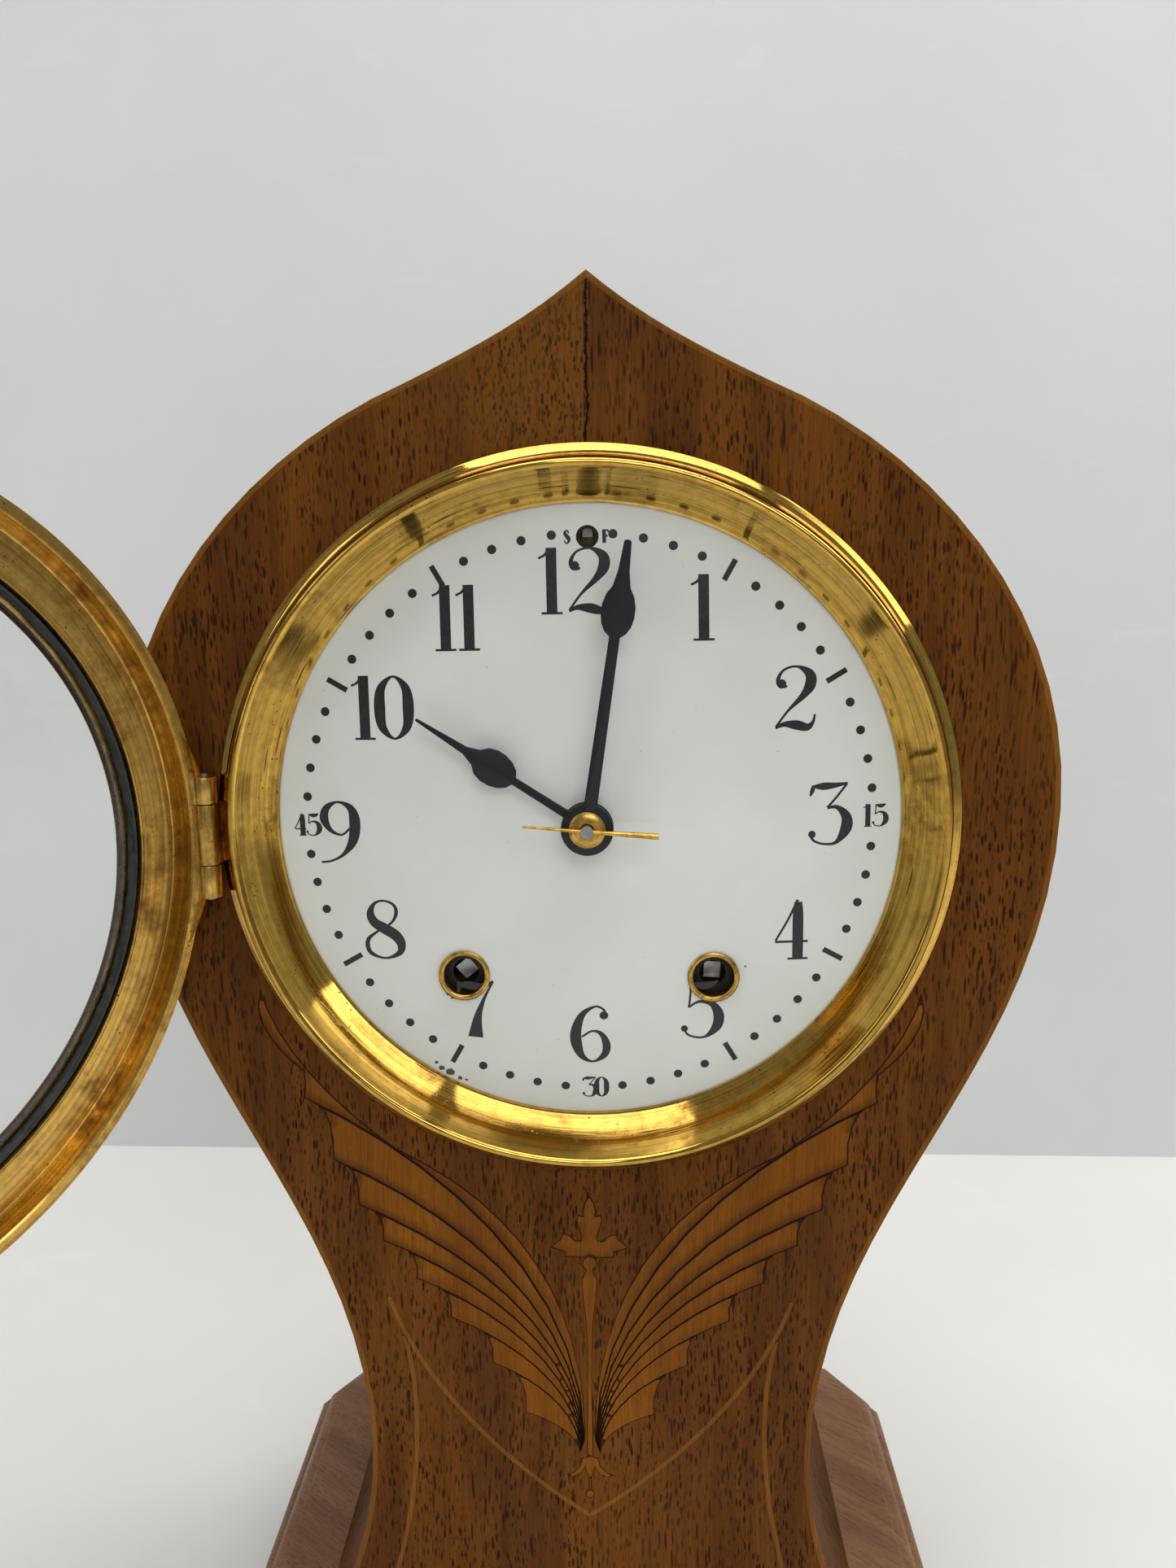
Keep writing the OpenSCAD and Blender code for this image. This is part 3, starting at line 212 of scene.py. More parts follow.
# open pored wood: X across the grain, Z along it
def buildWoodGroup():
    tree, start, end = newGroup("openPoredWood", [
        ("Vector", "Vector", None), ("Light", "Color", (0.3, 0.14, 0.05, 1)),
        ("Dark", "Color", (0.1, 0.04, 0.015, 1)),
        ("Pore", "Color", (0.02, 0.008, 0.004, 1)), ("Pore Amount", "Float", 1.0),
        ("Figure", "Float", 1.0)],
        [("Color", "Color"), ("Pores", "Float"), ("Height", "Float")])
    vector = start.outputs["Vector"]
    wobble = addNode(tree, "ShaderNodeVectorMath", operation="ADD")
    drift = joinAxes(tree, times(tree, cloud(tree, vector, (25, 25, 25), 1), 0.004))
    feed(tree, wobble.inputs[0], vector)
    feed(tree, wobble.inputs[1], drift)
    grain = wobble.outputs[0]
    shortPores = ramp(tree, cells(tree, grain, (1050, 1050, 250)), 0.22, 0.38, 1, 0)
    finePores = ramp(tree, cells(tree, grain, (1700, 1700, 420), (3, 1, 2)), 0.14, 0.34, 1, 0)
    longPores = ramp(tree, cells(tree, grain, (820, 820, 85), (1, 5, 4)), 0.18, 0.3, 1, 0)
    crowd = ramp(tree, cloud(tree, grain, (130, 130, 26), 2), 0.36, 0.6)
    streaky = ramp(tree, cloud(tree, grain, (90, 90, 8), 2, location=(2, 7, 1)), 0.44, 0.56)
    pores = calc(tree, "MAXIMUM", times(tree, shortPores, calc(tree, "MULTIPLY_ADD", crowd, 0.45, 0.5)),
                 times(tree, finePores, calc(tree, "MULTIPLY_ADD", crowd, 0.6, 0.15)))
    pores = calc(tree, "MAXIMUM", pores, times(tree, longPores, times(tree, streaky, 0.85)))
    pores = times(tree, pores, start.outputs["Pore Amount"])
    fibre = cloud(tree, grain, (2600, 2600, 60), 3, 0.6)
    figure = cloud(tree, grain, (70, 70, 11), 3, 0.55, 0.6)
    bands = cloud(tree, grain, (330, 330, 9), 2, 0.5)
    tone = plus(tree, times(tree, figure, 0.75), times(tree, bands, 0.25))
    tone = calc(tree, "MULTIPLY_ADD", minus(tree, tone, 0.5), start.outputs["Figure"], 0.5)
    body = blendColour(tree, ramp(tree, tone, 0.3, 0.7), start.outputs["Dark"], start.outputs["Light"])
    shade = ramp(tree, fibre, 0.25, 0.75, 0.72, 1.12)
    body = blendColour(tree, 1.0, body, shade, "MULTIPLY")
    feed(tree, end.inputs["Color"], blendColour(tree, pores, body, start.outputs["Pore"]))
    feed(tree, end.inputs["Pores"], pores)
    feed(tree, end.inputs["Height"], minus(tree, times(tree, fibre, 0.25), pores))
    return tree


# stained metal: patches, streaks and small pits
def buildTarnishGroup():
    tree, start, end = newGroup("tarnish", [
        ("Vector", "Vector", None), ("Clean", "Color", (0.8, 0.6, 0.25, 1)),
        ("Stain", "Color", (0.2, 0.1, 0.04, 1)),
        ("Amount", "Float", 0.5), ("Pits", "Float", 0.5)],
        [("Color", "Color"), ("Stained", "Float"), ("Height", "Float")])
    vector = start.outputs["Vector"]
    large = cloud(tree, vector, (75, 75, 75), 4, 0.6, 0.4)
    small = cloud(tree, vector, (420, 420, 420), 4, 0.65)
    spots = ramp(tree, cells(tree, vector, (650, 650, 650)), 0.08, 0.2, 1, 0)
    spotField = ramp(tree, cloud(tree, vector, (110, 110, 110), 2, location=(3, 1, 2)), 0.5, 0.64)
    pits = times(tree, times(tree, spots, spotField), start.outputs["Pits"])
    patch = plus(tree, times(tree, large, 0.7), times(tree, small, 0.3))
    edge = minus(tree, 0.78, times(tree, start.outputs["Amount"], 0.4))
    stained = ramp(tree, patch, minus(tree, edge, 0.16), plus(tree, edge, 0.1))
    warm = blendColour(tree, ramp(tree, small, 0.35, 0.7), start.outputs["Clean"],
                       blendColour(tree, 0.35, start.outputs["Clean"], start.outputs["Stain"]))
    colour = blendColour(tree, times(tree, stained, 0.85), warm, start.outputs["Stain"])
    colour = blendColour(tree, pits, colour, (0.03, 0.022, 0.014, 1))
    feed(tree, end.inputs["Color"], colour)
    feed(tree, end.inputs["Stained"], calc(tree, "MAXIMUM", stained, pits))
    feed(tree, end.inputs["Height"], minus(tree, times(tree, small, 0.3), pits))
    return tree


# fine lines left by turning, with a few deeper scratches
def buildSpunGroup():
    tree, start, end = newGroup("spunLines", [("Turned", "Vector", None)],
                                [("Lines", "Float"), ("Scratches", "Float")])
    turned = start.outputs["Turned"]
    fine = cloud(tree, turned, (3300, 16, 3300), 3, 0.7)
    broad = cloud(tree, turned, (900, 9, 900), 3, 0.6)
    feed(tree, end.inputs["Lines"], plus(tree, times(tree, fine, 0.5), times(tree, broad, 0.5)))
    cuts = ramp(tree, cells(tree, turned, (820, 46, 820), turn=(0, 0, 2)), 0.13, 0.22, 1, 0)
    gathered = ramp(tree, cloud(tree, turned, (260, 22, 260), 2, location=(1, 4, 2)), 0.46, 0.58)
    feed(tree, end.inputs["Scratches"], times(tree, cuts, gathered))
    return tree


groups = {
    "turned": buildTurnedGroup(),
    "wood": buildWoodGroup(),
    "tarnish": buildTarnishGroup(),
    "spun": buildSpunGroup(),
}
print("shared shader groups ready")


def useGroup(tree, name, **values):
    node = addNode(tree, "ShaderNodeGroup", node_tree=groups[name])
    for label, value in values.items():
        feed(tree, node.inputs[label.replace("_", " ")], value)
    return node.outputs


def newMaterial(name, **fixed):
    material = bpy.data.materials.new(name)
    material.use_nodes = True
    tree = material.node_tree
    shader = tree.nodes["Principled BSDF"]
    for label, value in fixed.items():
        shader.inputs[label.replace("_", " ")].default_value = value
    place = addNode(tree, "ShaderNodeTexCoord").outputs["Object"]
    return material, tree, shader, place


def bump(tree, shader, height, strength, distance):
    node = addNode(tree, "ShaderNodeBump")
    node.inputs["Strength"].default_value = strength
    node.inputs["Distance"].default_value = distance
    feed(tree, node.inputs["Height"], height)
    feed(tree, shader.inputs["Normal"], node.outputs[0])


dialCentre = (0.0, 0.0, -clock["dialHeight"] * mm)
doorRadians = math.radians(-clock["doorTurn"])
hingeAt = Vector((clock["hingeAcross"] * mm, clock["hingeDepth"] * mm, 0))
hingeShift = hingeAt - Matrix.Rotation(doorRadians, 3, "Z") @ hingeAt
doorShift = (hingeShift.x, hingeShift.y, dialCentre[2])


# materials: woods

woods = {
    # light and dark body, pores and their amount, strength of figure, roughness, polish, and how the grain lies
    "mahoganyFront": dict(light=(0.188, 0.062, 0.0055, 1), dark=(0.092, 0.028, 0.003, 1),
                          pore=(0.018, 0.006, 0.002, 1),
                          pores=0.95, figure=0.9, rough=0.5, polish=0.03),
    "mahoganyShell": dict(light=(0.135, 0.048, 0.009, 1), dark=(0.07, 0.024, 0.005, 1),
                          pore=(0.018, 0.007, 0.003, 1),
                          pores=0.85, figure=0.9, rough=0.46, polish=0.06, wrapped=True),
    # the base's pale body colour is partly the wood's own faded tone and partly painted sheen, standing in for the
    # polish's veil of reflection
    "mahoganyBase": dict(light=(0.29, 0.145, 0.072, 1), dark=(0.19, 0.085, 0.042, 1),
                         pore=(0.09, 0.036, 0.018, 1),
                         pores=0.45, figure=0.9, rough=0.42, polish=0.25, turn=(0, 90, 0), tilt=(0, 0, 38)),
    "boxwood": dict(light=(0.26, 0.1, 0.012, 1), dark=(0.18, 0.066, 0.008, 1), pore=(0.08, 0.03, 0.006, 1),
                    pores=0.2, figure=0.8, rough=0.46, polish=0.03),
    "satinwood": dict(light=(0.27, 0.09, 0.005, 1), dark=(0.2, 0.062, 0.004, 1),
                      pore=(0.06, 0.02, 0.003, 1),
                      pores=0.22, figure=1.0, rough=0.46, polish=0.03),
    "pine": dict(light=(0.34, 0.19, 0.085, 1), dark=(0.2, 0.1, 0.045, 1), pore=(0.1, 0.05, 0.02, 1),
                 pores=0.2, figure=1.4, rough=0.75, polish=0.0),
}


def buildWood(name, label=None, line=0.0, shade=0.0):
    spec = woods[name]
    material, tree, shader, place = newMaterial(label or name, Coat_Roughness=0.25, IOR=1.45,
                                                Specular_IOR_Level=0.09)
    grain = place
    if "wrapped" in spec:
        x, y, z = splitAxes(tree, place)
        grain = joinAxes(tree, y, None, z)
    if "tilt" in spec:
        grain = scaled(tree, grain, (1, 1, 1), turn=spec["tilt"])
    if "turn" in spec:
        grain = scaled(tree, grain, (1, 1, 1), turn=spec["turn"])
    wood = useGroup(tree, "wood", Vector=grain, Light=spec["light"], Dark=spec["dark"], Pore=spec["pore"],
                    Pore_Amount=spec["pores"], Figure=spec["figure"])
    colour = wood["Color"]
    height = wood["Height"]
    wear = cloud(tree, place, (38, 38, 38), 3)
    if name == "mahoganyFront":
        colour, height = addJointCrack(tree, place, colour, height)
    if line > 0:
        colour = addInlayEdge(tree, place, colour, line, shade)
    feed(tree, shader.inputs["Base Color"], colour)
    rough = ramp(tree, wear, 0.3, 0.7, spec["rough"] - 0.07, spec["rough"] + 0.1)
    feed(tree, shader.inputs["Roughness"], plus(tree, times(tree, wood["Pores"], 0.3), rough))
    feed(tree, shader.inputs["Coat Weight"],
         ramp(tree, wear, 0.3, 0.7, spec["polish"], spec["polish"] * 0.5))
    bump(tree, shader, height, 0.5, 0.00012)
    return material


# dark filler at an inlay's edge and scorched shading beside it, from distances kept on the piece
def addInlayEdge(tree, place, colour, line, shade):
    edge = addNode(tree, "ShaderNodeAttribute", attribute_name="edgeDistance").outputs["Fac"]
    low = addNode(tree, "ShaderNodeAttribute", attribute_name="lowDistance").outputs["Fac"]
    upward = ramp(tree, splitAxes(tree, place)[2], 0.112, 0.158)
    scorched = times(tree, ramp(tree, low, 0.1, 2.8, 1, 0), times(tree, upward, shade))
    colour = blendColour(tree, scorched, colour, (0.05, 0.015, 0.002, 1))
    thin = calc(tree, "MULTIPLY_ADD", upward, 0.6, 0.4)
    filler = ramp(tree, calc(tree, "DIVIDE", edge, thin), line * 0.5, line * 1.25, 0.92, 0)
    return blendColour(tree, filler, colour, (0.02, 0.007, 0.002, 1))


# the veneer's centre joint has opened above the dial
def addJointCrack(tree, place, colour, height):
    x, y, z = splitAxes(tree, place)
    sway = times(tree, minus(tree, cloud(tree, place, (0, 0, 150), 4, 0.7), 0.5), 0.0032)
    width = times(tree, ramp(tree, cloud(tree, place, (0, 0, 420), 3, 0.7, location=(5, 0, 0)), 0.3, 0.72),
                  0.00042)
    off = calc(tree, "ABSOLUTE", plus(tree, x, sway))
    above = calc(tree, "GREATER_THAN", z, 0.3325)
    crack = times(tree, calc(tree, "LESS_THAN", off, plus(tree, width, 0.00008)), above)
    # short splinters and dark filler beside the joint
    chips = ramp(tree, cloud(tree, place, (1500, 1500, 240), 3, 0.6), 0.56, 0.66)
    beside = ramp(tree, off, 0.0004, 0.0024, 0.8, 0)
    crack = calc(tree, "MAXIMUM", crack, times(tree, times(tree, chips, beside), above))
    # the left half near the apex shows the pores end on, as dark specks
    specks = ramp(tree, cells(tree, place, (1250, 1250, 560)), 0.27, 0.42, 1, 0)
    patch = times(tree, ramp(tree, z, 0.322, 0.34), ramp(tree, x, -0.042, -0.016))
    patch = times(tree, patch, ramp(tree, x, -0.001, 0.0005, 1, 0))
    colour = blendColour(tree, times(tree, patch, 0.35), colour, (0.2, 0.078, 0.01, 1))
    patchy = ramp(tree, cloud(tree, place, (240, 240, 120), 3), 0.35, 0.6, 0.45, 1)
    specks = times(tree, specks, times(tree, patch, patchy))
    colour = blendColour(tree, times(tree, specks, 0.9), colour, (0.034, 0.013, 0.004, 1))
    colour = blendColour(tree, crack, colour, (0.008, 0.004, 0.002, 1))
    height = minus(tree, minus(tree, height, times(tree, crack, 2.0)), specks)
    return colour, height


# materials: metals, enamel, glass

metals = {
    "brightBrass": dict(clean=(0.78, 0.475, 0.095, 1), stain=(0.34, 0.17, 0.035, 1), amount=0.28, pits=0.85,
                        rough=0.06,
                        roughStain=0.2, spun=0.6, cuts=0.9),
    "agedBrass": dict(clean=(0.76, 0.47, 0.115, 1), stain=(0.27, 0.135, 0.035, 1), amount=0.4, pits=0.9,
                      rough=0.27,
                      roughStain=0.25, spun=0.3, cuts=0.4),
    "plateBrass": dict(clean=(0.66, 0.46, 0.16, 1), stain=(0.36, 0.21, 0.07, 1), amount=0.4, pits=0.5,
                       rough=0.34,
                       roughStain=0.2, brushed=(30, 2600, 2600)),
    "steel": dict(clean=(0.4, 0.4, 0.4, 1), stain=(0.18, 0.135, 0.1, 1), amount=0.35, pits=0.6, rough=0.32,
                  roughStain=0.3, brushed=(2600, 60, 2600)),
    "springSteel": dict(clean=(0.1, 0.11, 0.14, 1), stain=(0.06, 0.045, 0.04, 1), amount=0.4, pits=0.4,
                        rough=0.3,
                        roughStain=0.3, brushed=(900, 900, 900)),
    "castIron": dict(clean=(0.045, 0.043, 0.042, 1), stain=(0.07, 0.035, 0.02, 1), amount=0.45, pits=0.6,
                     rough=0.55,
                     roughStain=0.3, brushed=(1400, 1400, 1400), metal=0.35),
    "blackHands": dict(clean=(0.002, 0.004, 0.006, 1), stain=(0.007, 0.006, 0.006, 1), amount=0.3, pits=0.3,
                       rough=0.42,
                       roughStain=0.2, brushed=(700, 700, 700), metal=0.1),
}


def buildMetal(name, label=None, door=False, **changes):
    spec = dict(metals[name], **changes)
    material, tree, shader, place = newMaterial(label or name, Metallic=spec.get("metal", 1.0))
    if door:
        place = scaled(tree, place, (1, 1, 1), doorShift, (0, 0, -clock["doorTurn"]))
    elif "spun" in spec:
        place = scaled(tree, place, (1, 1, 1), dialCentre)
    worn = useGroup(tree, "tarnish", Vector=place, Clean=spec["clean"], Stain=spec["stain"],
                    Amount=spec["amount"],
                    Pits=spec["pits"])
    colour = worn["Color"]
    if "spun" in spec:
        turned = useGroup(tree, "turned", Vector=place)["Turned"]
        lines = useGroup(tree, "spun", Turned=turned)
        height = plus(tree, times(tree, lines["Lines"], spec["spun"]), times(tree, worn["Height"], 0.4))
        height = minus(tree, height, times(tree, lines["Scratches"], 0.4))
        colour = blendColour(tree, 1.0, colour, ramp(tree, lines["Lines"], 0.34, 0.66, 0.5, 1.08),
                             "MULTIPLY")
        colour = blendColour(tree, times(tree, lines["Scratches"], spec["cuts"]), colour,
                             (0.09, 0.05, 0.012, 1))
    else:
        height = plus(tree, cloud(tree, place, spec["brushed"], 2), times(tree, worn["Height"], 0.6))
    feed(tree, shader.inputs["Base Color"], colour)
    feed(tree, shader.inputs["Roughness"],
         plus(tree, times(tree, worn["Stained"], spec["roughStain"]), spec["rough"]))
    bump(tree, shader, height, 0.25, 0.00006)
    return material


def buildEnamel():
    material, tree, shader, place = newMaterial("whiteEnamel", Coat_Roughness=0.03, IOR=1.52)
    fine = cloud(tree, place, (900, 900, 900), 3)
    wide = cloud(tree, place, (45, 45, 45), 3)
    ripple = cloud(tree, place, (70, 70, 70), 1, location=(2, 0, 0))
    colour = blendColour(tree, ramp(tree, wide, 0.3, 0.7), (0.745, 0.775, 0.72, 1), (0.79, 0.81, 0.765, 1))
    specks = ramp(tree, cells(tree, place, (210, 210, 210)), 0.018, 0.035, 1, 0)
    colour = blendColour(tree, times(tree, specks, 0.6), colour, (0.2, 0.18, 0.14, 1))
    feed(tree, shader.inputs["Base Color"], colour)
    feed(tree, shader.inputs["Roughness"], ramp(tree, fine, 0.3, 0.7, 0.1, 0.17))
    feed(tree, shader.inputs["Coat Weight"], ramp(tree, wide, 0.3, 0.7, 0.5, 0.35))
    bump(tree, shader, ripple, 0.12, 0.0004)
    return material


def buildMarkBlack():
    material, tree, shader, place = newMaterial("firedBlack", IOR=1.5)
    fine = cloud(tree, place, (1600, 1600, 1600), 3)
    feed(tree, shader.inputs["Base Color"],
         blendColour(tree, ramp(tree, fine, 0.3, 0.75), (0.008, 0.010, 0.011, 1), (0.02, 0.022, 0.022, 1)))
    feed(tree, shader.inputs["Roughness"], ramp(tree, fine, 0.3, 0.7, 0.28, 0.45))
    return material


def buildGlass():
    material, tree, shader, place = newMaterial("bevelledGlass", IOR=1.48, Transmission_Weight=1.0)
    smear = cloud(tree, place, (28, 28, 90), 4, 0.6)
    feed(tree, shader.inputs["Base Color"],
         blendColour(tree, smear, (0.95, 0.975, 0.965, 1), (0.985, 0.995, 0.99, 1)))
    feed(tree, shader.inputs["Roughness"], ramp(tree, smear, 0.55, 0.8, 0.0, 0.03))
    return material


def buildPutty():
    material, tree, shader, place = newMaterial("darkPutty", Metallic=0.0)
    fine = cloud(tree, place, (700, 700, 700), 4, 0.65)
    wide = cloud(tree, place, (90, 90, 90), 3)
    colour = blendColour(tree, ramp(tree, fine, 0.35, 0.7), (0.008, 0.009, 0.008, 1),
                         (0.035, 0.038, 0.034, 1))
    colour = blendColour(tree, ramp(tree, wide, 0.62, 0.75, 0, 0.6), colour, (0.1, 0.085, 0.06, 1))
    feed(tree, shader.inputs["Base Color"], colour)
    feed(tree, shader.inputs["Roughness"], ramp(tree, fine, 0.3, 0.7, 0.4, 0.75))
    bump(tree, shader, fine, 0.7, 0.0003)
    return material


finishes = {name: buildWood(name) for name in woods}
finishes.update({name: buildMetal(name) for name in metals})
finishes["doorBrass"] = buildMetal("agedBrass", "doorBrass", door=True)
finishes["shadedFeathers"] = buildWood("satinwood", "shadedFeathers", 0.27, 0.6)
finishes["shadedTorch"] = buildWood("satinwood", "shadedTorch", 0.26, 0.3)
finishes["shadedStrings"] = buildWood("boxwood", "shadedStrings", 0.12, 0.0)
# painted shade: near-black finish for the rings behind the dial's holes, standing in for the shadowed gap in front
# of the movement
finishes["paintedShadeBlack"] = buildMetal("castIron", "paintedShadeBlack", clean=(0.006, 0.006, 0.006, 1),
                              stain=(0.012, 0.009, 0.007, 1), metal=0.0)
finishes["chipGrey"] = buildMetal("castIron", "chipGrey", clean=(0.12, 0.115, 0.1, 1),
                                  stain=(0.03, 0.025, 0.02, 1), metal=0.0)
finishes["enamel"] = buildEnamel()
finishes["markBlack"] = buildMarkBlack()
finishes["glass"] = buildGlass()
finishes["putty"] = buildPutty()
print("materials ready:", len(finishes))

slotFinish = {
    "mahogany_front": "mahoganyFront", "mahogany_sides": "mahoganyShell", "mahogany_base": "mahoganyBase",
    "boxwood": "boxwood", "satinwood": "satinwood", "pine": "pine", "bright_brass": "brightBrass",
    "aged_brass": "agedBrass", "enamel": "enamel", "blued_steel": "blackHands", "glass": "glass",
    "putty": "putty",
    "plate_brass": "plateBrass", "steel": "steel", "spring_steel": "springSteel", "iron": "castIron",
}
nodeSlot = {part["node"]: part["material_slot"] for part in frame["record"]["subparts"]}


def dress(obj, material):
    obj.data.materials.clear()
    obj.data.materials.append(material)


for nodeName, nodeObject in frame["nodes"].items():
    dress(nodeObject, finishes[slotFinish[nodeSlot[nodeName]]])


# modelling helpers

def applyModifier(obj, kind, **settings):
    makeActive(obj)
    modifier = obj.modifiers.new(kind.lower(), kind)
    for key, value in settings.items():
        setattr(modifier, key, value)
    bpy.ops.object.modifier_apply(modifier=modifier.name)


def softenEdges(obj, width, segments=2, angle=30.0):
    applyModifier(obj, "BEVEL", width=width * mm, segments=segments, limit_method="ANGLE",
                  angle_limit=math.radians(angle), use_clamp_overlap=True, harden_normals=False)


def finishPiece(obj, body, material, smooth=32.0):
    makeActive(obj)
    bpy.ops.object.transform_apply(location=True, rotation=True, scale=True)
    bpy.ops.object.shade_smooth_by_angle(angle=math.radians(smooth))
    dress(obj, material)
    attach(obj, body)
    return obj


def linked(name, data):
    obj = bpy.data.objects.new(name, data)
    bpy.context.scene.collection.objects.link(obj)
    return obj


def outlineObject(name, points, fill):
    deselectAll()
    bpy.ops.mesh.primitive_circle_add(vertices=len(points), radius=mm, fill_type=fill, location=(0, 0, 0))
    obj = bpy.context.object
    obj.name = obj.data.name = name
    for vertex, point in zip(obj.data.vertices, points):
        vertex.co = point
    return obj


def startEdit():
    bpy.ops.object.mode_set(mode="EDIT")
    bpy.ops.mesh.select_all(action="SELECT")


def endEdit():
    bpy.ops.mesh.select_all(action="SELECT")
    bpy.ops.mesh.normals_make_consistent(inside=False)
    bpy.ops.object.mode_set(mode="OBJECT")


def cutAway(obj, cutter):
    applyModifier(obj, "BOOLEAN", operation="DIFFERENCE", object=cutter, solver="EXACT")
    bpy.data.objects.remove(cutter)


# a profile given as (radius, distance in front of the case), with the distance made a depth
def fromFront(profile):
    return [(radius, clock["frontFace"] - forward) for radius, forward in profile]


# a closed outline of (radius, depth) in millimetres, spun about the dial's axis or one beside it
def spinOutline(name, outline, steps=192, across=0.0, up=0.0):
    obj = outlineObject(name, [placed(across + radius, depth, up) for radius, depth in outline], "NOTHING")
    startEdit()
    bpy.ops.mesh.spin(steps=steps, angle=2 * math.pi, center=placed(across, 0, up), axis=(0, 1, 0))
    bpy.ops.mesh.select_all(action="SELECT")
    bpy.ops.mesh.remove_doubles(threshold=mergeDistance)
    endEdit()
    return obj


# a flat plate cut to an outline of (across, up) and drawn back from its front face
def cutPlate(name, outline, front, back):
    obj = outlineObject(name, [placed(across, front, up) for across, up in outline], "NGON")
    startEdit()
    bpy.ops.mesh.extrude_region_move(TRANSFORM_OT_translate={"value": (0, (back - front) * mm, 0)})
    endEdit()
    return obj


def swingOpen(obj):
    turn = Matrix.Rotation(-doorRadians, 4, "Z")
    obj.data.transform(Matrix.Translation(hingeAt) @ turn @ Matrix.Translation(-hingeAt))
    return obj


# a merged copy of a CAD node with its edges broken, which stands in for the node
def softenedCopy(nodeName, width, material=None, segments=2, angle=30.0, smooth=30.0):
    source = frame["nodes"][nodeName]
    obj = linked(nodeName + ".finished", source.data.copy())
    makeActive(obj)
    startEdit()
    bpy.ops.mesh.remove_doubles(threshold=mergeDistance)
    bpy.ops.mesh.dissolve_limited(angle_limit=math.radians(0.6))
    bpy.ops.object.mode_set(mode="OBJECT")
    if width > 0:
        softenEdges(obj, width, segments, angle)
    slotName = nodeSlot[nodeName]
    finishPiece(obj, source["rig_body"], material or finishes[slotFinish[slotName]], smooth)
    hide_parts(nodeName)
    return obj


def domeDepth(across, up):
    return clock["domeFront"] + clock["domeRadius"] - math.sqrt(clock["domeRadius"] ** 2 - across ** 2 - up ** 2)


# dial marks

marks = {
    "ringRadius": 63.4, "dotRadius": 1.0, "barLength": 5.0, "barWidth": 1.1,
    "raised": 0.03, "hourScale": 1.0, "smallScale": 0.36, "letterScale": 0.195, "smallWeight": 1.4,
    "letterWeight": 1.9, "spread": 1.17, "narrow": 0.92, "hairline": 0.5,
}

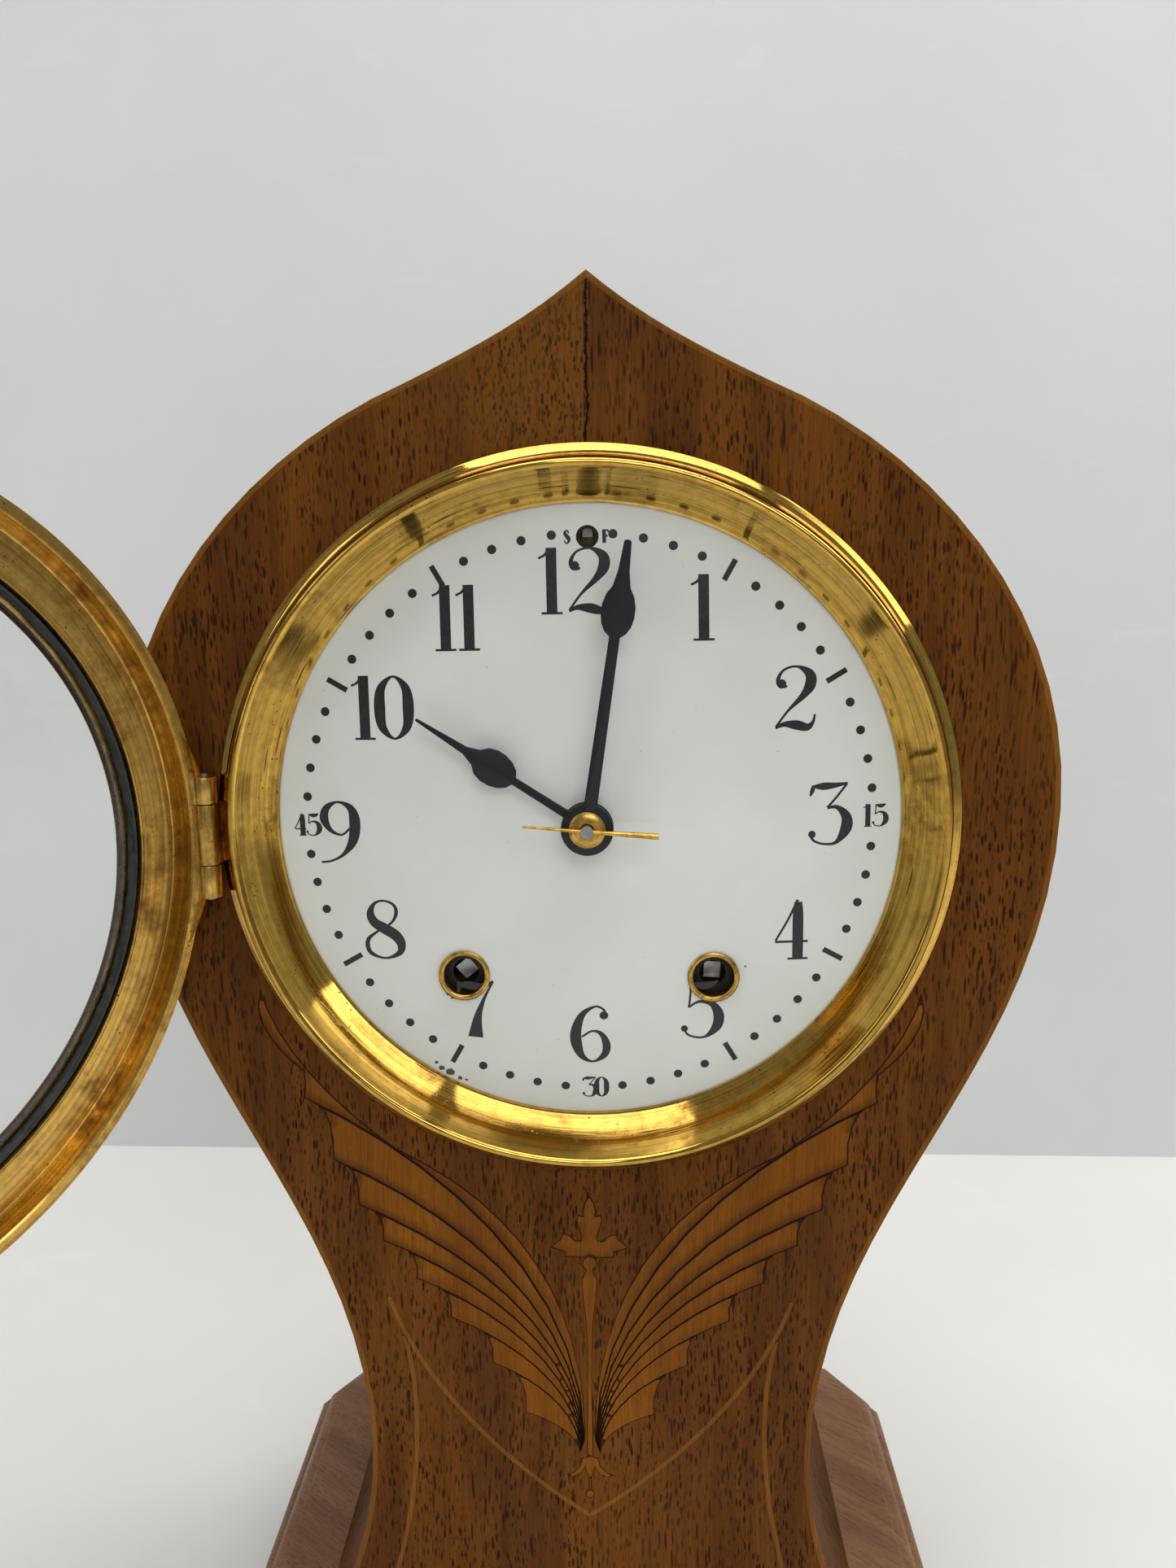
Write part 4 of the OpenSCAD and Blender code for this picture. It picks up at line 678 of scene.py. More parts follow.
# each digit is a list of strokes through (across, up, width)
digits = {
    "0": [[(-2.75, 0, 2.3), (-2.3, 4.4, 1.7), (0, 6.85, 0.45), (2.3, 4.4, 1.7), (2.75, 0, 2.3),
           (2.3, -4.4, 1.7),
           (0, -6.85, 0.45), (-2.3, -4.4, 1.7), (-2.75, 0, 2.3)]],
    "1": [[(0, 7.1, 2.1), (0, 0, 2.1), (0, -6.7, 2.1)],
          [(-2.5, -6.85, 0.42), (0, -6.85, 0.42), (2.5, -6.85, 0.42)],
          [(-0.6, 6.8, 0.5), (-1.5, 5.6, 0.5), (-3.0, 4.9, 0.3)]],
    "2": [[(-1.3, 2.6, 0.4), (-2.6, 2.7, 0.9), (-3.0, 4.2, 0.8), (-1.9, 6.2, 0.45), (0.6, 6.85, 0.5),
           (2.9, 5.2, 1.9),
           (3.0, 2.8, 2.2), (1.6, 0.4, 1.3), (-1.2, -2.8, 0.5), (-3.4, -6.2, 0.5)],
          [(-3.5, -6.5, 0.5), (-1.9, -5.7, 1.0), (0.4, -5.9, 1.9), (2.4, -6.4, 1.5), (3.5, -5.4, 0.7),
           (3.9, -3.6, 0.35)]],
    "3": [[(-3.1, 6.3, 0.5), (-1.2, 6.3, 1.5), (1.2, 6.5, 1.0), (3.4, 6.9, 0.4)],
          [(-3.1, 6.6, 0.5), (-3.3, 5.4, 0.9), (-3.7, 4.2, 0.3)],
          [(3.3, 6.8, 0.5), (1.4, 3.9, 0.45), (-0.4, 1.5, 0.5)],
          [(-0.4, 1.4, 0.5), (1.5, 1.5, 0.9), (3.2, -0.6, 2.0), (3.2, -3.4, 2.3), (1.4, -6.4, 0.8),
           (-0.9, -6.8, 0.45),
           (-3.0, -5.9, 0.5), (-3.6, -4.3, 0.6)]],
    "4": [[(1.5, 7.1, 0.6), (-0.9, 2.4, 0.45), (-3.9, -2.5, 0.45)],
          [(-4.0, -2.75, 0.5), (0, -2.75, 0.5), (4.1, -2.75, 0.5)],
          [(1.6, 6.6, 1.6), (1.6, 3.0, 2.2), (1.6, -6.7, 2.2)],
          [(-0.9, -6.85, 0.42), (1.6, -6.85, 0.42), (4.1, -6.85, 0.42)]],
    "5": [[(-2.3, 6.6, 0.4), (0, 5.9, 1.6), (1.7, 6.2, 1.3), (3.1, 7.0, 0.4)],
          [(-2.2, 6.7, 0.5), (-2.3, 3.8, 0.45), (-2.6, 0.6, 0.45)],
          [(-2.6, 0.7, 0.45), (-0.6, 2.0, 0.6), (1.9, 1.4, 1.3), (3.2, -1.2, 2.2), (2.8, -4.3, 2.0),
           (0.4, -6.8, 0.5),
           (-2.6, -6.3, 0.45), (-3.8, -4.2, 0.5)]],
    "6": [[(2.9, 4.6, 0.5), (2.6, 6.1, 0.5), (0.9, 6.9, 0.45), (-1.6, 5.0, 1.3), (-2.9, 1.2, 2.2),
           (-2.9, -2.4, 2.3),
           (-1.8, -5.6, 1.3), (0.3, -6.85, 0.45), (2.5, -5.2, 1.4), (3.0, -2.6, 1.7), (2.0, 0.1, 1.0),
           (0.2, 0.8, 0.4),
           (-1.8, -0.6, 0.4)]],
    "7": [[(-3.5, 6.9, 0.4), (-3.3, 5.6, 0.9), (-3.6, 4.0, 0.35)],
          [(-3.3, 6.2, 0.7), (-1.4, 6.0, 1.7), (1.0, 5.6, 1.5), (3.5, 6.9, 0.4)],
          [(3.4, 6.8, 0.4), (1.5, 2.6, 0.7), (0.1, -2.0, 1.7), (-0.5, -6.9, 3.2)]],
    "8": [[(0.1, 0.3, 2.3), (-1.8, 1.8, 2.0), (-2.5, 3.9, 1.6), (-1.7, 6.1, 0.7), (0.1, 6.9, 0.45),
           (2.1, 6.0, 0.6),
           (2.6, 4.0, 0.8), (1.5, 1.6, 0.5), (-1.5, -0.6, 0.5), (-3.3, -2.6, 0.9), (-2.9, -5.5, 0.9),
           (0, -6.85, 0.45),
           (2.8, -5.6, 1.2), (3.3, -3.4, 1.9), (2.2, -1.3, 2.3), (0.1, 0.3, 2.3)]],
    "9": [[(2.0, 0.9, 0.4), (0.3, -0.6, 0.4), (-1.8, 0.4, 0.9), (-3.0, 3.0, 1.8), (-2.4, 5.6, 1.4),
           (-0.1, 6.9, 0.45),
           (2.3, 5.5, 1.5), (3.0, 2.4, 2.3), (2.5, -1.8, 2.0), (0.6, -5.0, 0.8), (-1.8, -6.6, 0.4),
           (-4.0, -7.0, 0.35)]],
    "S": [[(2.3, 3.6, 0.6), (1.2, 6.5, 0.8), (-1.0, 6.4, 0.9), (-2.2, 4.2, 1.7), (-0.4, 1.2, 2.1),
           (2.0, -1.6, 2.1),
           (2.4, -4.6, 1.4), (0.6, -6.7, 0.8), (-1.8, -6.2, 0.8), (-2.9, -3.4, 0.6)]],
    "F": [[(-1.4, 6.8, 2.0), (-1.4, 0, 2.0), (-1.4, -6.8, 2.0)],
          [(-3.4, 6.7, 0.7), (0, 6.7, 0.7), (3.4, 6.7, 0.8)],
          [(3.2, 7.0, 0.7), (3.3, 5.6, 0.8), (3.4, 4.2, 0.6)],
          [(-1.4, 0.4, 0.7), (0.4, 0.4, 0.7), (2.0, 0.4, 0.7)],
          [(2.0, 1.8, 0.6), (2.0, 0.4, 0.6), (2.0, -1.0, 0.6)],
          [(-3.4, -6.7, 0.7), (-1.4, -6.7, 0.7), (0.6, -6.7, 0.7)]],
}
# round ends, as (across, up, radius)
balls = {"2": [(-2.3, 3.2, 0.95)], "3": [(-3.3, -4.5, 0.85)], "5": [(-3.5, -4.6, 0.8)],
         "6": [(2.6, 4.7, 1.0)]}

hourNumbers = [
    ("1", 26.0, 47.0), ("2", 45.6, 27.0), ("3", 53.6, 1.0), ("4", 45.4, -25.6), ("5", 25.2, -44.3),
    ("6", -0.4, -50.0),
    ("7", -26.6, -43.7), ("8", -47.2, -24.4), ("9", -56.0, -1.5), ("10", -44.9, 26.5), ("11", -27.6, 45.8),
    ("12", -1.6, 53.3),
]
digitShift = {"10": (-4.1, 2.6), "11": (-2.6, 2.6), "12": (-5.2, 2.6), "15": (-1.35, 1.35),
              "30": (-1.35, 1.45),
              "45": (-1.55, 1.5)}


def smoothStroke(points, parts=9):
    ends = [points[0]] + list(points) + [points[-1]]
    if points[0] == points[-1]:
        ends = [points[-2]] + list(points) + [points[1]]
    path = []
    for i in range(1, len(ends) - 2):
        a, b, c, d = (Vector(p) for p in ends[i - 1:i + 3])
        for step in range(parts):
            t = step / parts
            path.append(0.5 * (2 * b + (c - a) * t + (2 * a - 5 * b + 4 * c - d) * t * t
                               + (3 * b - a - 3 * c + d) * t ** 3))
    path.append(Vector(points[-1]))
    return path


def markPoint(mesh, across, up):
    turn = math.radians(clock["marksTurn"])
    x = across * math.cos(turn) - up * math.sin(turn)
    z = across * math.sin(turn) + up * math.cos(turn)
    return mesh.verts.new(placed(x, domeDepth(x, z) - marks["raised"], z))


def addStroke(mesh, points, across, up, scale, weight=1.0, spread=1.0):
    path = smoothStroke(points)
    rows = []
    for i, point in enumerate(path):
        before, after = path[max(i - 1, 0)], path[min(i + 1, len(path) - 1)]
        way = Vector((after.x - before.x, after.y - before.y)).normalized()
        half = max(point.z * 1.1, marks["hairline"]) * weight * scale / 2
        x, z = across + point.x * scale * spread, up + point.y * scale
        rows.append((markPoint(mesh, x - way.y * half, z + way.x * half),
                     markPoint(mesh, x + way.y * half, z - way.x * half)))
    for (a, b), (c, d) in zip(rows, rows[1:]):
        mesh.faces.new((a, b, d, c))


def addSpot(mesh, across, up, radius, sides=20):
    mesh.faces.new([markPoint(mesh, across + radius * math.cos(2 * math.pi * i / sides),
                              up + radius * math.sin(2 * math.pi * i / sides)) for i in range(sides)])


def addNumber(mesh, text, across, up, scale, weight=1.0):
    shifts = digitShift.get(text, (0.0,))
    for letter, shift in zip(text, shifts):
        x = across + shift
        spread = marks["narrow"] if letter in "14SF" else marks["spread"]
        for stroke in digits[letter]:
            addStroke(mesh, stroke, x, up, scale, weight, spread)
        for ballAcross, ballUp, radius in balls.get(letter, []):
            addSpot(mesh, x + ballAcross * scale * spread, up + ballUp * scale, radius * scale)


def finishMarks(name, mesh, material=None):
    data = bpy.data.meshes.new(name)
    for face in mesh.faces:
        face.normal_update()
        if face.normal.y > 0:
            face.normal_flip()
    mesh.to_mesh(data)
    mesh.free()
    obj = linked(name, data)
    applyModifier(obj, "SOLIDIFY", thickness=(marks["raised"] + 0.02) * mm, offset=-1.0)
    return finishPiece(obj, "case", material or finishes["markBlack"])


def buildDialMarks():
    dots, bars, hours, small, letters = (bmesh.new() for i in range(5))
    for minute in range(60):
        angle = math.radians(6 * minute)
        x, z = math.sin(angle), math.cos(angle)
        if minute % 15 == 0:
            continue
        if minute % 5 == 0:
            low = marks["ringRadius"] - marks["barLength"] / 2
            high = low + marks["barLength"]
            middle = (low + high) / 2
            addStroke(bars, [(x * r, z * r, marks["barWidth"]) for r in (low, middle, high)], 0, 0, 1.0)
        else:
            addSpot(dots, x * marks["ringRadius"], z * marks["ringRadius"], marks["dotRadius"])
    for text, across, up in hourNumbers:
        addNumber(hours, text, across, up, marks["hourScale"])
    for text, across, up in (("15", 63.6, 0.4), ("30", 0.3, -63.4), ("45", -63.6, 0.2)):
        addNumber(small, text, across, up, marks["smallScale"], marks["smallWeight"])
    for text, across in (("S", -3.3), ("F", 5.0)):
        addNumber(letters, text, across, clock["regulatorUp"], marks["letterScale"], marks["letterWeight"])
    finishMarks("minuteDots", dots)
    finishMarks("fiveMinuteBars", bars)
    finishMarks("hourNumerals", hours)
    finishMarks("quarterNumerals", small)
    finishMarks("rateLetters", letters)


buildDialMarks()
print("dial marks ready")


# dial

dialSpec = {"thickness": 0.9, "rings": 40, "centreHole": 4.3, "regulatorHole": 2.45, "windingHole": 5.25}


def buildDial():
    edge = clock["dialRadius"]
    front = []
    back = []
    for i in range(dialSpec["rings"] + 1):
        radius = dialSpec["centreHole"] + (edge - dialSpec["centreHole"]) * i / dialSpec["rings"]
        front.append((radius, domeDepth(radius, 0)))
        if i % 4 == 0:
            back.append((radius, domeDepth(radius, 0) + dialSpec["thickness"]))
    front[-1] = (edge - 0.25, front[-1][1])
    front.append((edge, front[-1][1] + 0.25))
    obj = spinOutline("enamelDial", front + back[::-1], 240)
    holes = [(0.0, clock["regulatorUp"], dialSpec["regulatorHole"]),
             (clock["windingAcross"], clock["windingDrop"], dialSpec["windingHole"]),
             (-clock["windingAcross"], clock["windingDrop"], dialSpec["windingHole"])]
    for across, up, radius in holes:
        deselectAll()
        bpy.ops.mesh.primitive_cylinder_add(vertices=64, radius=radius * mm, depth=0.02,
                                            location=placed(across, -50, up),
                                            rotation=(math.pi / 2, 0, 0))
        cutAway(obj, bpy.context.object)
    finishPiece(obj, "case", finishes["enamel"], 25)
    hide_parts("dial")


buildDial()

grommet = {"bore": 4.7, "wall": 0.5, "rim": 5.9, "back": 2.8}


def buildGrommets():
    depth = domeDepth(clock["windingAcross"], clock["windingDrop"])
    bore, outer, rim = grommet["bore"], grommet["bore"] + grommet["wall"], grommet["rim"]
    outline = [(bore, depth + grommet["back"]), (bore, depth - 0.7), (bore + 0.25, depth - 0.98),
               (bore + 0.6, depth - 1.05),
               (rim - 0.3, depth - 0.95), (rim, depth - 0.7), (rim - 0.05, depth - 0.5),
               (outer, depth - 0.45),
               (outer, depth + grommet["back"])]
    for side, name in ((-1, "grommetStrike"), (1, "grommetTime")):
        obj = spinOutline(name, outline, 96, side * clock["windingAcross"], clock["windingDrop"])
        finishPiece(obj, "case", finishes["agedBrass"], 40)
    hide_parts("dial_grommets")


buildGrommets()


# painted shade: black rings behind the holes, close round the squares, standing in for the shadowed gap so the
# movement doesn't show through
shadeRings = {
    # place across and up, bore, edge, and how far behind the enamel's face
    "shadeRingTime": (clock["windingAcross"], clock["windingDrop"], 3.0, 4.72, 2.6),
    "shadeRingStrike": (-clock["windingAcross"], clock["windingDrop"], 3.0, 4.72, 2.6),
    "shadeRingRegulator": (0.0, clock["regulatorUp"], 1.75, 3.6, 1.2),
}


def buildShadeRings():
    for name, (across, up, bore, edge, behind) in shadeRings.items():
        depth = domeDepth(across, up) + behind
        outline = [(bore, depth), (edge - 0.2, depth - 0.1), (edge, depth), (edge, depth + 0.5),
                   (bore + 0.3, depth + 0.9),
                   (bore, depth + 0.8)]
        finishPiece(spinOutline(name, outline, 64, across, up), "case", finishes["paintedShadeBlack"], 40)


# bruises where the enamel has flaked: at the edge by the seven and round the left grommet
def buildChips():
    mesh = bmesh.new()
    spots = [(-33.6, -59.6, 1.1), (-35.6, -58.6, 0.8), (-31.4, -61.2, 0.6), (-36.8, -57.2, 0.5),
             (-29.9, -61.6, 0.4),
             (-33.0, -39.9, 0.55), (-33.9, -38.4, 0.4), (-32.2, -40.9, 0.35), (35.0, -34.0, 0.3)]
    for across, up, radius in spots:
        sides = 14
        rim = []
        for i in range(sides):
            angle = 2 * math.pi * i / sides
            reach = radius * (0.75 + 0.5 * random.random())
            rim.append(markPoint(mesh, across + reach * math.cos(angle),
                                 up + 0.7 * reach * math.sin(angle)))
        mesh.faces.new(rim)
    finishMarks("enamelChips", mesh, finishes["chipGrey"])


buildShadeRings()
buildChips()
print("dial ready")


# reflector ring

ring = {"outer": 81.8, "wall": 79.5, "crest": 77.0, "crestFront": 6.7, "lip": 69.8, "lipBack": 3.7,
        "sheet": 0.8}


def buildRing():
    crest, crestF, lip, lipF, wall = ring["crest"], ring["crestFront"], ring["lip"], ring["lipBack"], ring["wall"]
    face = [(ring["outer"], 0), (ring["outer"], 0.9), (ring["outer"] - 0.3, 1.2),
            (ring["outer"] - 0.9, 1.5),
            (wall + 0.9, 2.0), (wall + 0.2, 2.3), (wall, 2.7), (crest + 2.0, crestF - 2.2),
            (crest + 1.6, crestF - 1.0),
            (crest + 1.3, crestF - 0.4), (crest + 0.85, crestF - 0.05), (crest + 0.4, crestF),
            (crest, crestF - 0.08),
            (crest - 0.35, crestF - 0.45), (crest - 0.6, crestF - 0.95)]
    for i in range(1, 9):
        t = i / 8
        hollow = 0.35 * math.sin(math.pi * t)
        face.append((crest - 0.6 + (lip + 0.5 - crest + 0.6) * t + hollow,
                     crestF - 0.95 + (-lipF - crestF + 0.95) * t))
    face += [(lip + 0.1, -lipF - 0.1), (lip, -lipF - 0.4), (lip, -lipF - ring["sheet"])]
    inside = [(lip + 1, -lipF - ring["sheet"]), (crest - 0.2, crestF - 2.3), (crest + 0.7, crestF - 1.9),
              (wall - ring["sheet"] - 0.4, 2.0), (wall - ring["sheet"] - 0.4, 0)]
    obj = spinOutline("reflectorRing", fromFront(face + inside), 256)
    finishPiece(obj, "case", finishes["brightBrass"], 38)
    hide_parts("reflector_ring")


buildRing()
print("ring ready")


# door

door = {"inner": 79.9, "outer": 82.3, "back": 2.6, "band": 7.3, "glass": 69.9, "glassBack": 9.8,
        "glassFront": 12.3,
        "front": 13.1, "retainer": 66.8, "putty": 68.7, "glassBevel": 11.0, "hingeUp": -1.5,
        "fixedHalf": 6.7, "gap": 0.2,
        "knuckle": (6.0, 7.4), "knuckleRadius": 2.75}


def buildDoor():
    f, g, b = door["front"], door["glass"], door["back"]
    profile = [(door["outer"], b), (door["outer"], b + 2.2), (door["outer"] - 0.35, b + 3.3),
               (door["outer"] - 1, b + 4.4),
               (door["outer"] - 2.6, b + 6), (door["outer"] - 5, f - 1.7), (door["outer"] - 6.6, f - 0.9),
               (door["outer"] - 8, f - 0.4), (g + 1.5, f), (g - 1.6, f - 0.3),
               (door["retainer"] + 0.3, f - 0.9),
               (door["retainer"], f - 1.3), (door["retainer"], f - 1.68), (g - 1.6, f - 1.1),
               (g + 0.1, f - 1.4),
               (g + 0.1, door["glassBack"]), (g + 0.35, door["band"] + 1.1), (g + 0.6, door["band"]),
               (g + 1.0, door["band"]),
               (g + 1.3, door["band"] + 0.2), (door["inner"] - 1.7, door["band"] + 0.2),
               (door["inner"] - 1.4, door["band"]),
               (door["inner"], door["band"]), (door["inner"], b + 0.5), (door["inner"] + 0.3, b)]
    obj = spinOutline("doorBezel", fromFront(profile), 256)
    swingOpen(obj)
    finishPiece(obj, "front_door", finishes["doorBrass"], 30)
    return obj


doorLeaf = {"rimIn": 0.6, "rimWidth": 1.0, "inset": 0.3, "straight": 5.2, "flare": 0.7, "steps": 6,
            "sheet": 1.2,
            "topReach": 22.0, "lowReach": -25.0}


def buildDoorHinge():
    high = door["hingeUp"] + door["fixedHalf"] + door["gap"]
    low = door["hingeUp"] - door["fixedHalf"] - door["gap"]
    spans = [("doorKnuckleTop", high, high + door["knuckle"][0]),
             ("doorKnuckleLow", low - door["knuckle"][1], low)]
    for name, start, stop in spans:
        deselectAll()
        bpy.ops.mesh.primitive_cylinder_add(vertices=48, radius=door["knuckleRadius"] * mm,
                                            depth=(stop - start) * mm,
                                            location=(hingeAt.x, hingeAt.y,
                                                      (clock["dialHeight"] + (start + stop) / 2) * mm))
        obj = bpy.context.object
        obj.name = obj.data.name = name
        softenEdges(obj, 0.25, 2, 40)
        swingOpen(finishPiece(obj, "front_door", finishes["doorBrass"], 40))
    # flared leaves that tie the knuckles to the rim
    rim = door["outer"] - doorLeaf["rimIn"]
    for name, sign, near, far in (("doorLeafTop", 1, high, doorLeaf["topReach"]),
                                  ("doorLeafLow", -1, low, doorLeaf["lowReach"])):
        root, turnUp = clock["hingeAcross"] + doorLeaf["inset"], near + sign * doorLeaf["straight"]
        outline = [(root, near), (root, turnUp)]
        steps = doorLeaf["steps"]
        for i in range(1, steps + 1):
            t = i / steps
            up = turnUp + (far - near - sign * doorLeaf["straight"]) * t
            edge = -math.sqrt(rim ** 2 - up ** 2)
            outline.append((root + (edge - clock["hingeAcross"] - doorLeaf["inset"]) * t ** doorLeaf["flare"], up))
        for i in range(steps, -1, -1):
            up = near + (far - near) * i / steps
            outline.append((-math.sqrt((rim - doorLeaf["rimWidth"]) ** 2 - up ** 2), up))
        obj = cutPlate(name, outline, clock["frontFace"] - door["back"] - doorLeaf["sheet"],
                       clock["frontFace"] - door["back"])
        softenEdges(obj, 0.2, 2, 40)
        swingOpen(obj)
        finishPiece(obj, "front_door", finishes["doorBrass"], 40)


def buildGlassAndPutty():
    g, front, back, bevel = door["glass"], door["glassFront"], door["glassBack"], door["glassBevel"]
    outline = [(0.0, back), (g - 0.3, back), (g, back + 0.3), (g, front - 0.9), (g - 0.2, front - 0.68),
               (g - bevel, front), (0.0, front)]
    glass = spinOutline("bevelledGlass", fromFront(outline), 192)
    swingOpen(glass)
    finishPiece(glass, "front_door", finishes["glass"], 3)
    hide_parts("door_glass")
    low, high, inner = door["band"] + 0.7, back, door["putty"]
    outline = [(inner + 0.2, high), (inner, high - 0.4), (inner + 0.3, low + 0.7), (inner + 0.7, low + 0.2),
               (g - 0.6, low),
               (g - 0.1, low - 0.1), (g, high)]
    putty = spinOutline("puttyRing", fromFront(outline), 320)
    centre = placed(0, 0, 0)
    for vertex in putty.data.vertices:
        depth = clock["frontFace"] - vertex.co.y / mm
        if depth > high - 0.05:
            continue
        away = Vector((vertex.co.x, 0, vertex.co.z - centre.z))
        rough = noise.noise(vertex.co * 420) * 0.28 + noise.noise(vertex.co * 95) * 0.3
        if away.length / mm < g - 0.6:
            vertex.co += away.normalized() * rough * mm
            vertex.co.y += noise.noise(vertex.co * 300 + Vector((7, 0, 0))) * 0.25 * mm
    swingOpen(putty)
    finishPiece(putty, "front_door", finishes["putty"], 60)
    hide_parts("door_retainer")


bezel = buildDoor()
buildDoorHinge()
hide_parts("door_bezel")
buildGlassAndPutty()
print("door ready")


# hands

softenedCopy("minute_hand", 0.14)
softenedCopy("hour_hand", 0.14)


washer = {"depth": -57.35, "bore": 1.35, "edge": 4.0}


def buildWasher():
    depth, bore, edge = washer["depth"], washer["bore"], washer["edge"]
    outline = [(bore, depth), (edge, depth), (edge, depth - 0.28), (3.7, depth - 0.5), (3.0, depth - 0.8),
               (2.2, depth - 0.98),
               (1.6, depth - 0.95), (1.4, depth - 0.7)]
    obj = spinOutline("brassWasher", outline, 96)
    finishPiece(obj, "minute_set", finishes["washerBrass"], 40)
    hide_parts("hand_washer")


finishes["washerBrass"] = buildMetal("agedBrass", "washerBrass", rough=0.3)
buildWasher()
softenedCopy("taper_pin", 0.0, finishes["brightBrass"], smooth=60)
print("hands ready")


# woodwork and the rest of the brass

edgeBreaks = {
    "edge_line_inlay": 0.1, "side_shell_left": 0.3, "side_shell_right": 0.3, "base_plinth": 0.5,
    "base_feet": 0.8,
    "hinge_knuckle": 0.2, "back_door": 0.2, "back_hinge": 0.15, "turn_button": 0.25, "gong_block": 0.6,
    "hammer": 0.15,
}
for nodeName, width in edgeBreaks.items():
    softenedCopy(nodeName, width)

baseMoulding = {
    # each step is how far the moulding comes in, then how far it rises
    "steps": [(0.35, 0.9), (0.8, 0.7), (1.0, 0.35), (0.7, 0.0), (0.05, 0.9), (0.4, 1.4), (0.7, 1.0),
              (1.1, 0.8),
              (1.5, 0.45), (0.8, 0.02), (0.05, 0.9), (0.3, 0.25)],
    "cant": (13.0, 20.0),
}


def buildBaseBoard():
    low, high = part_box("base_board")
    x, y = high.x, high.y
    cutX, cutY = (c * mm for c in baseMoulding["cant"])
    corners = [(x, -y + cutY), (x, y - cutY), (x - cutX, y), (-x + cutX, y), (-x, y - cutY),
               (-x, -y + cutY),
               (-x + cutX, -y), (x - cutX, -y)]
    obj = outlineObject("mouldedBase", [(across, depth, low.z) for across, depth in corners], "NGON")
    fascia = (high.z - low.z) - sum(rise for inset, rise in baseMoulding["steps"]) * mm
    startEdit()
    bpy.ops.mesh.extrude_region_move(TRANSFORM_OT_translate={"value": (0, 0, fascia)})
    for inset, rise in baseMoulding["steps"]:
        bpy.ops.mesh.inset(thickness=inset * mm, depth=0, use_even_offset=True)
        if rise > 0:
            bpy.ops.transform.translate(value=(0, 0, rise * mm))
    endEdit()
    softenEdges(obj, 0.15, 2, 35)
    finishPiece(obj, "case", finishes["mahoganyBase"], 35)
    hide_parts("base_board")


buildBaseBoard()


inlay = {"facing": -0.9, "downward": -0.25, "passes": 8, "farAway": 99.0}


# a copy of an inlay with small triangles, which keeps each point's distance to the inlay's edge and lower edge
def buildInlay(nodeName, material, longest=1.2):
    mesh = bmesh.new()
    mesh.from_mesh(frame["nodes"][nodeName].data)
    bmesh.ops.remove_doubles(mesh, verts=mesh.verts, dist=mergeDistance)
    for i in range(inlay["passes"]):
        front = [e for e in mesh.edges if e.calc_length() > longest * mm and any(f.normal.y < inlay["facing"] for f in e.link_faces)]
        if not front:
            break
        bmesh.ops.subdivide_edges(mesh, edges=front, cuts=1)
        bmesh.ops.triangulate(mesh, faces=mesh.faces[:])
    mesh.verts.index_update()
    mesh.faces.index_update()
    edgeAway = np.zeros(len(mesh.verts))
    lowAway = np.full(len(mesh.verts), inlay["farAway"])
    seen = set()
    for first in mesh.faces:
        if first.normal.y > inlay["facing"] or first.index in seen:
            continue
        island, stack = [], [first]
        seen.add(first.index)
        while stack:
            face = stack.pop()
            island.append(face)
            for edge in face.edges:
                for other in edge.link_faces:
                    if other.normal.y < inlay["facing"] and other.index not in seen:
                        seen.add(other.index)
                        stack.append(other)
        inside = {f.index for f in island}
        rim, lowRim = [], []
        for face in island:
            for edge in face.edges:
                if all(f.index in inside for f in edge.link_faces):
                    continue
                a, b = (v.co for v in edge.verts)
                outward = (a + b) / 2 - face.calc_center_median()
                way = Vector((b.z - a.z, 0, a.x - b.x)).normalized()
                way = way if way.dot(outward) > 0 else -way
                rim.append((a.x, a.z, b.x, b.z))
                if way.z < inlay["downward"]:
                    lowRim.append((a.x, a.z, b.x, b.z))
        verts = list({v for f in island for v in f.verts})
        points = np.array([(v.co.x, v.co.z) for v in verts])
        for lines, store in ((rim, edgeAway), (lowRim, lowAway)):
            if not lines:
                continue
            seg = np.array(lines)
            start, along = seg[:, :2], seg[:, 2:] - seg[:, :2]
            share = ((points[:, None] - start) * along).sum(2) / np.maximum((along ** 2).sum(1), 1e-18)
            nearest = start + np.clip(share, 0, 1)[..., None] * along
            away = np.sqrt(((points[:, None] - nearest) ** 2).sum(2)).min(1) / mm
            for v, value in zip(verts, away):
                store[v.index] = value
    data = bpy.data.meshes.new(nodeName + ".finished")
    mesh.to_mesh(data)
    mesh.free()
    for label, values in (("edgeDistance", edgeAway), ("lowDistance", lowAway)):
        data.attributes.new(label, "FLOAT", "POINT").data.foreach_set("value", values)
    obj = linked(nodeName + ".finished", data)
    finishPiece(obj, "case", material, 30)
    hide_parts(nodeName)


# veneer that shows where the feathers run together, just under the panel's face
bed = {"low": 111.0, "high": 160.0, "halfWidth": 13.0, "under": (0.12, 0.6)}
bedOutline = [(-1.0, bed["low"]), (1.0, bed["low"]), (bed["halfWidth"], bed["high"]),
              (-bed["halfWidth"], bed["high"])]
bedPlate = cutPlate("featherBed", [(x, z - clock["dialHeight"]) for x, z in bedOutline],
                    clock["frontFace"] + bed["under"][0],
                    clock["frontFace"] + bed["under"][1])
finishPiece(bedPlate, "case", finishes["satinwood"], 30)
buildInlay("wing_inlay", finishes["shadedFeathers"])
buildInlay("torch_inlay", finishes["shadedTorch"], 0.7)
buildInlay("string_inlay", finishes["shadedStrings"], 0.6)


backScrew = {"radius": 3.0, "rise": 0.8, "slotWidth": 0.7,
             "places": [(-84, 34), (84, 34), (-88, -20), (88, -20), (-52, -118), (52, -118), (-56, -198),
                        (56, -198), (-30, 78), (30, 78)]}


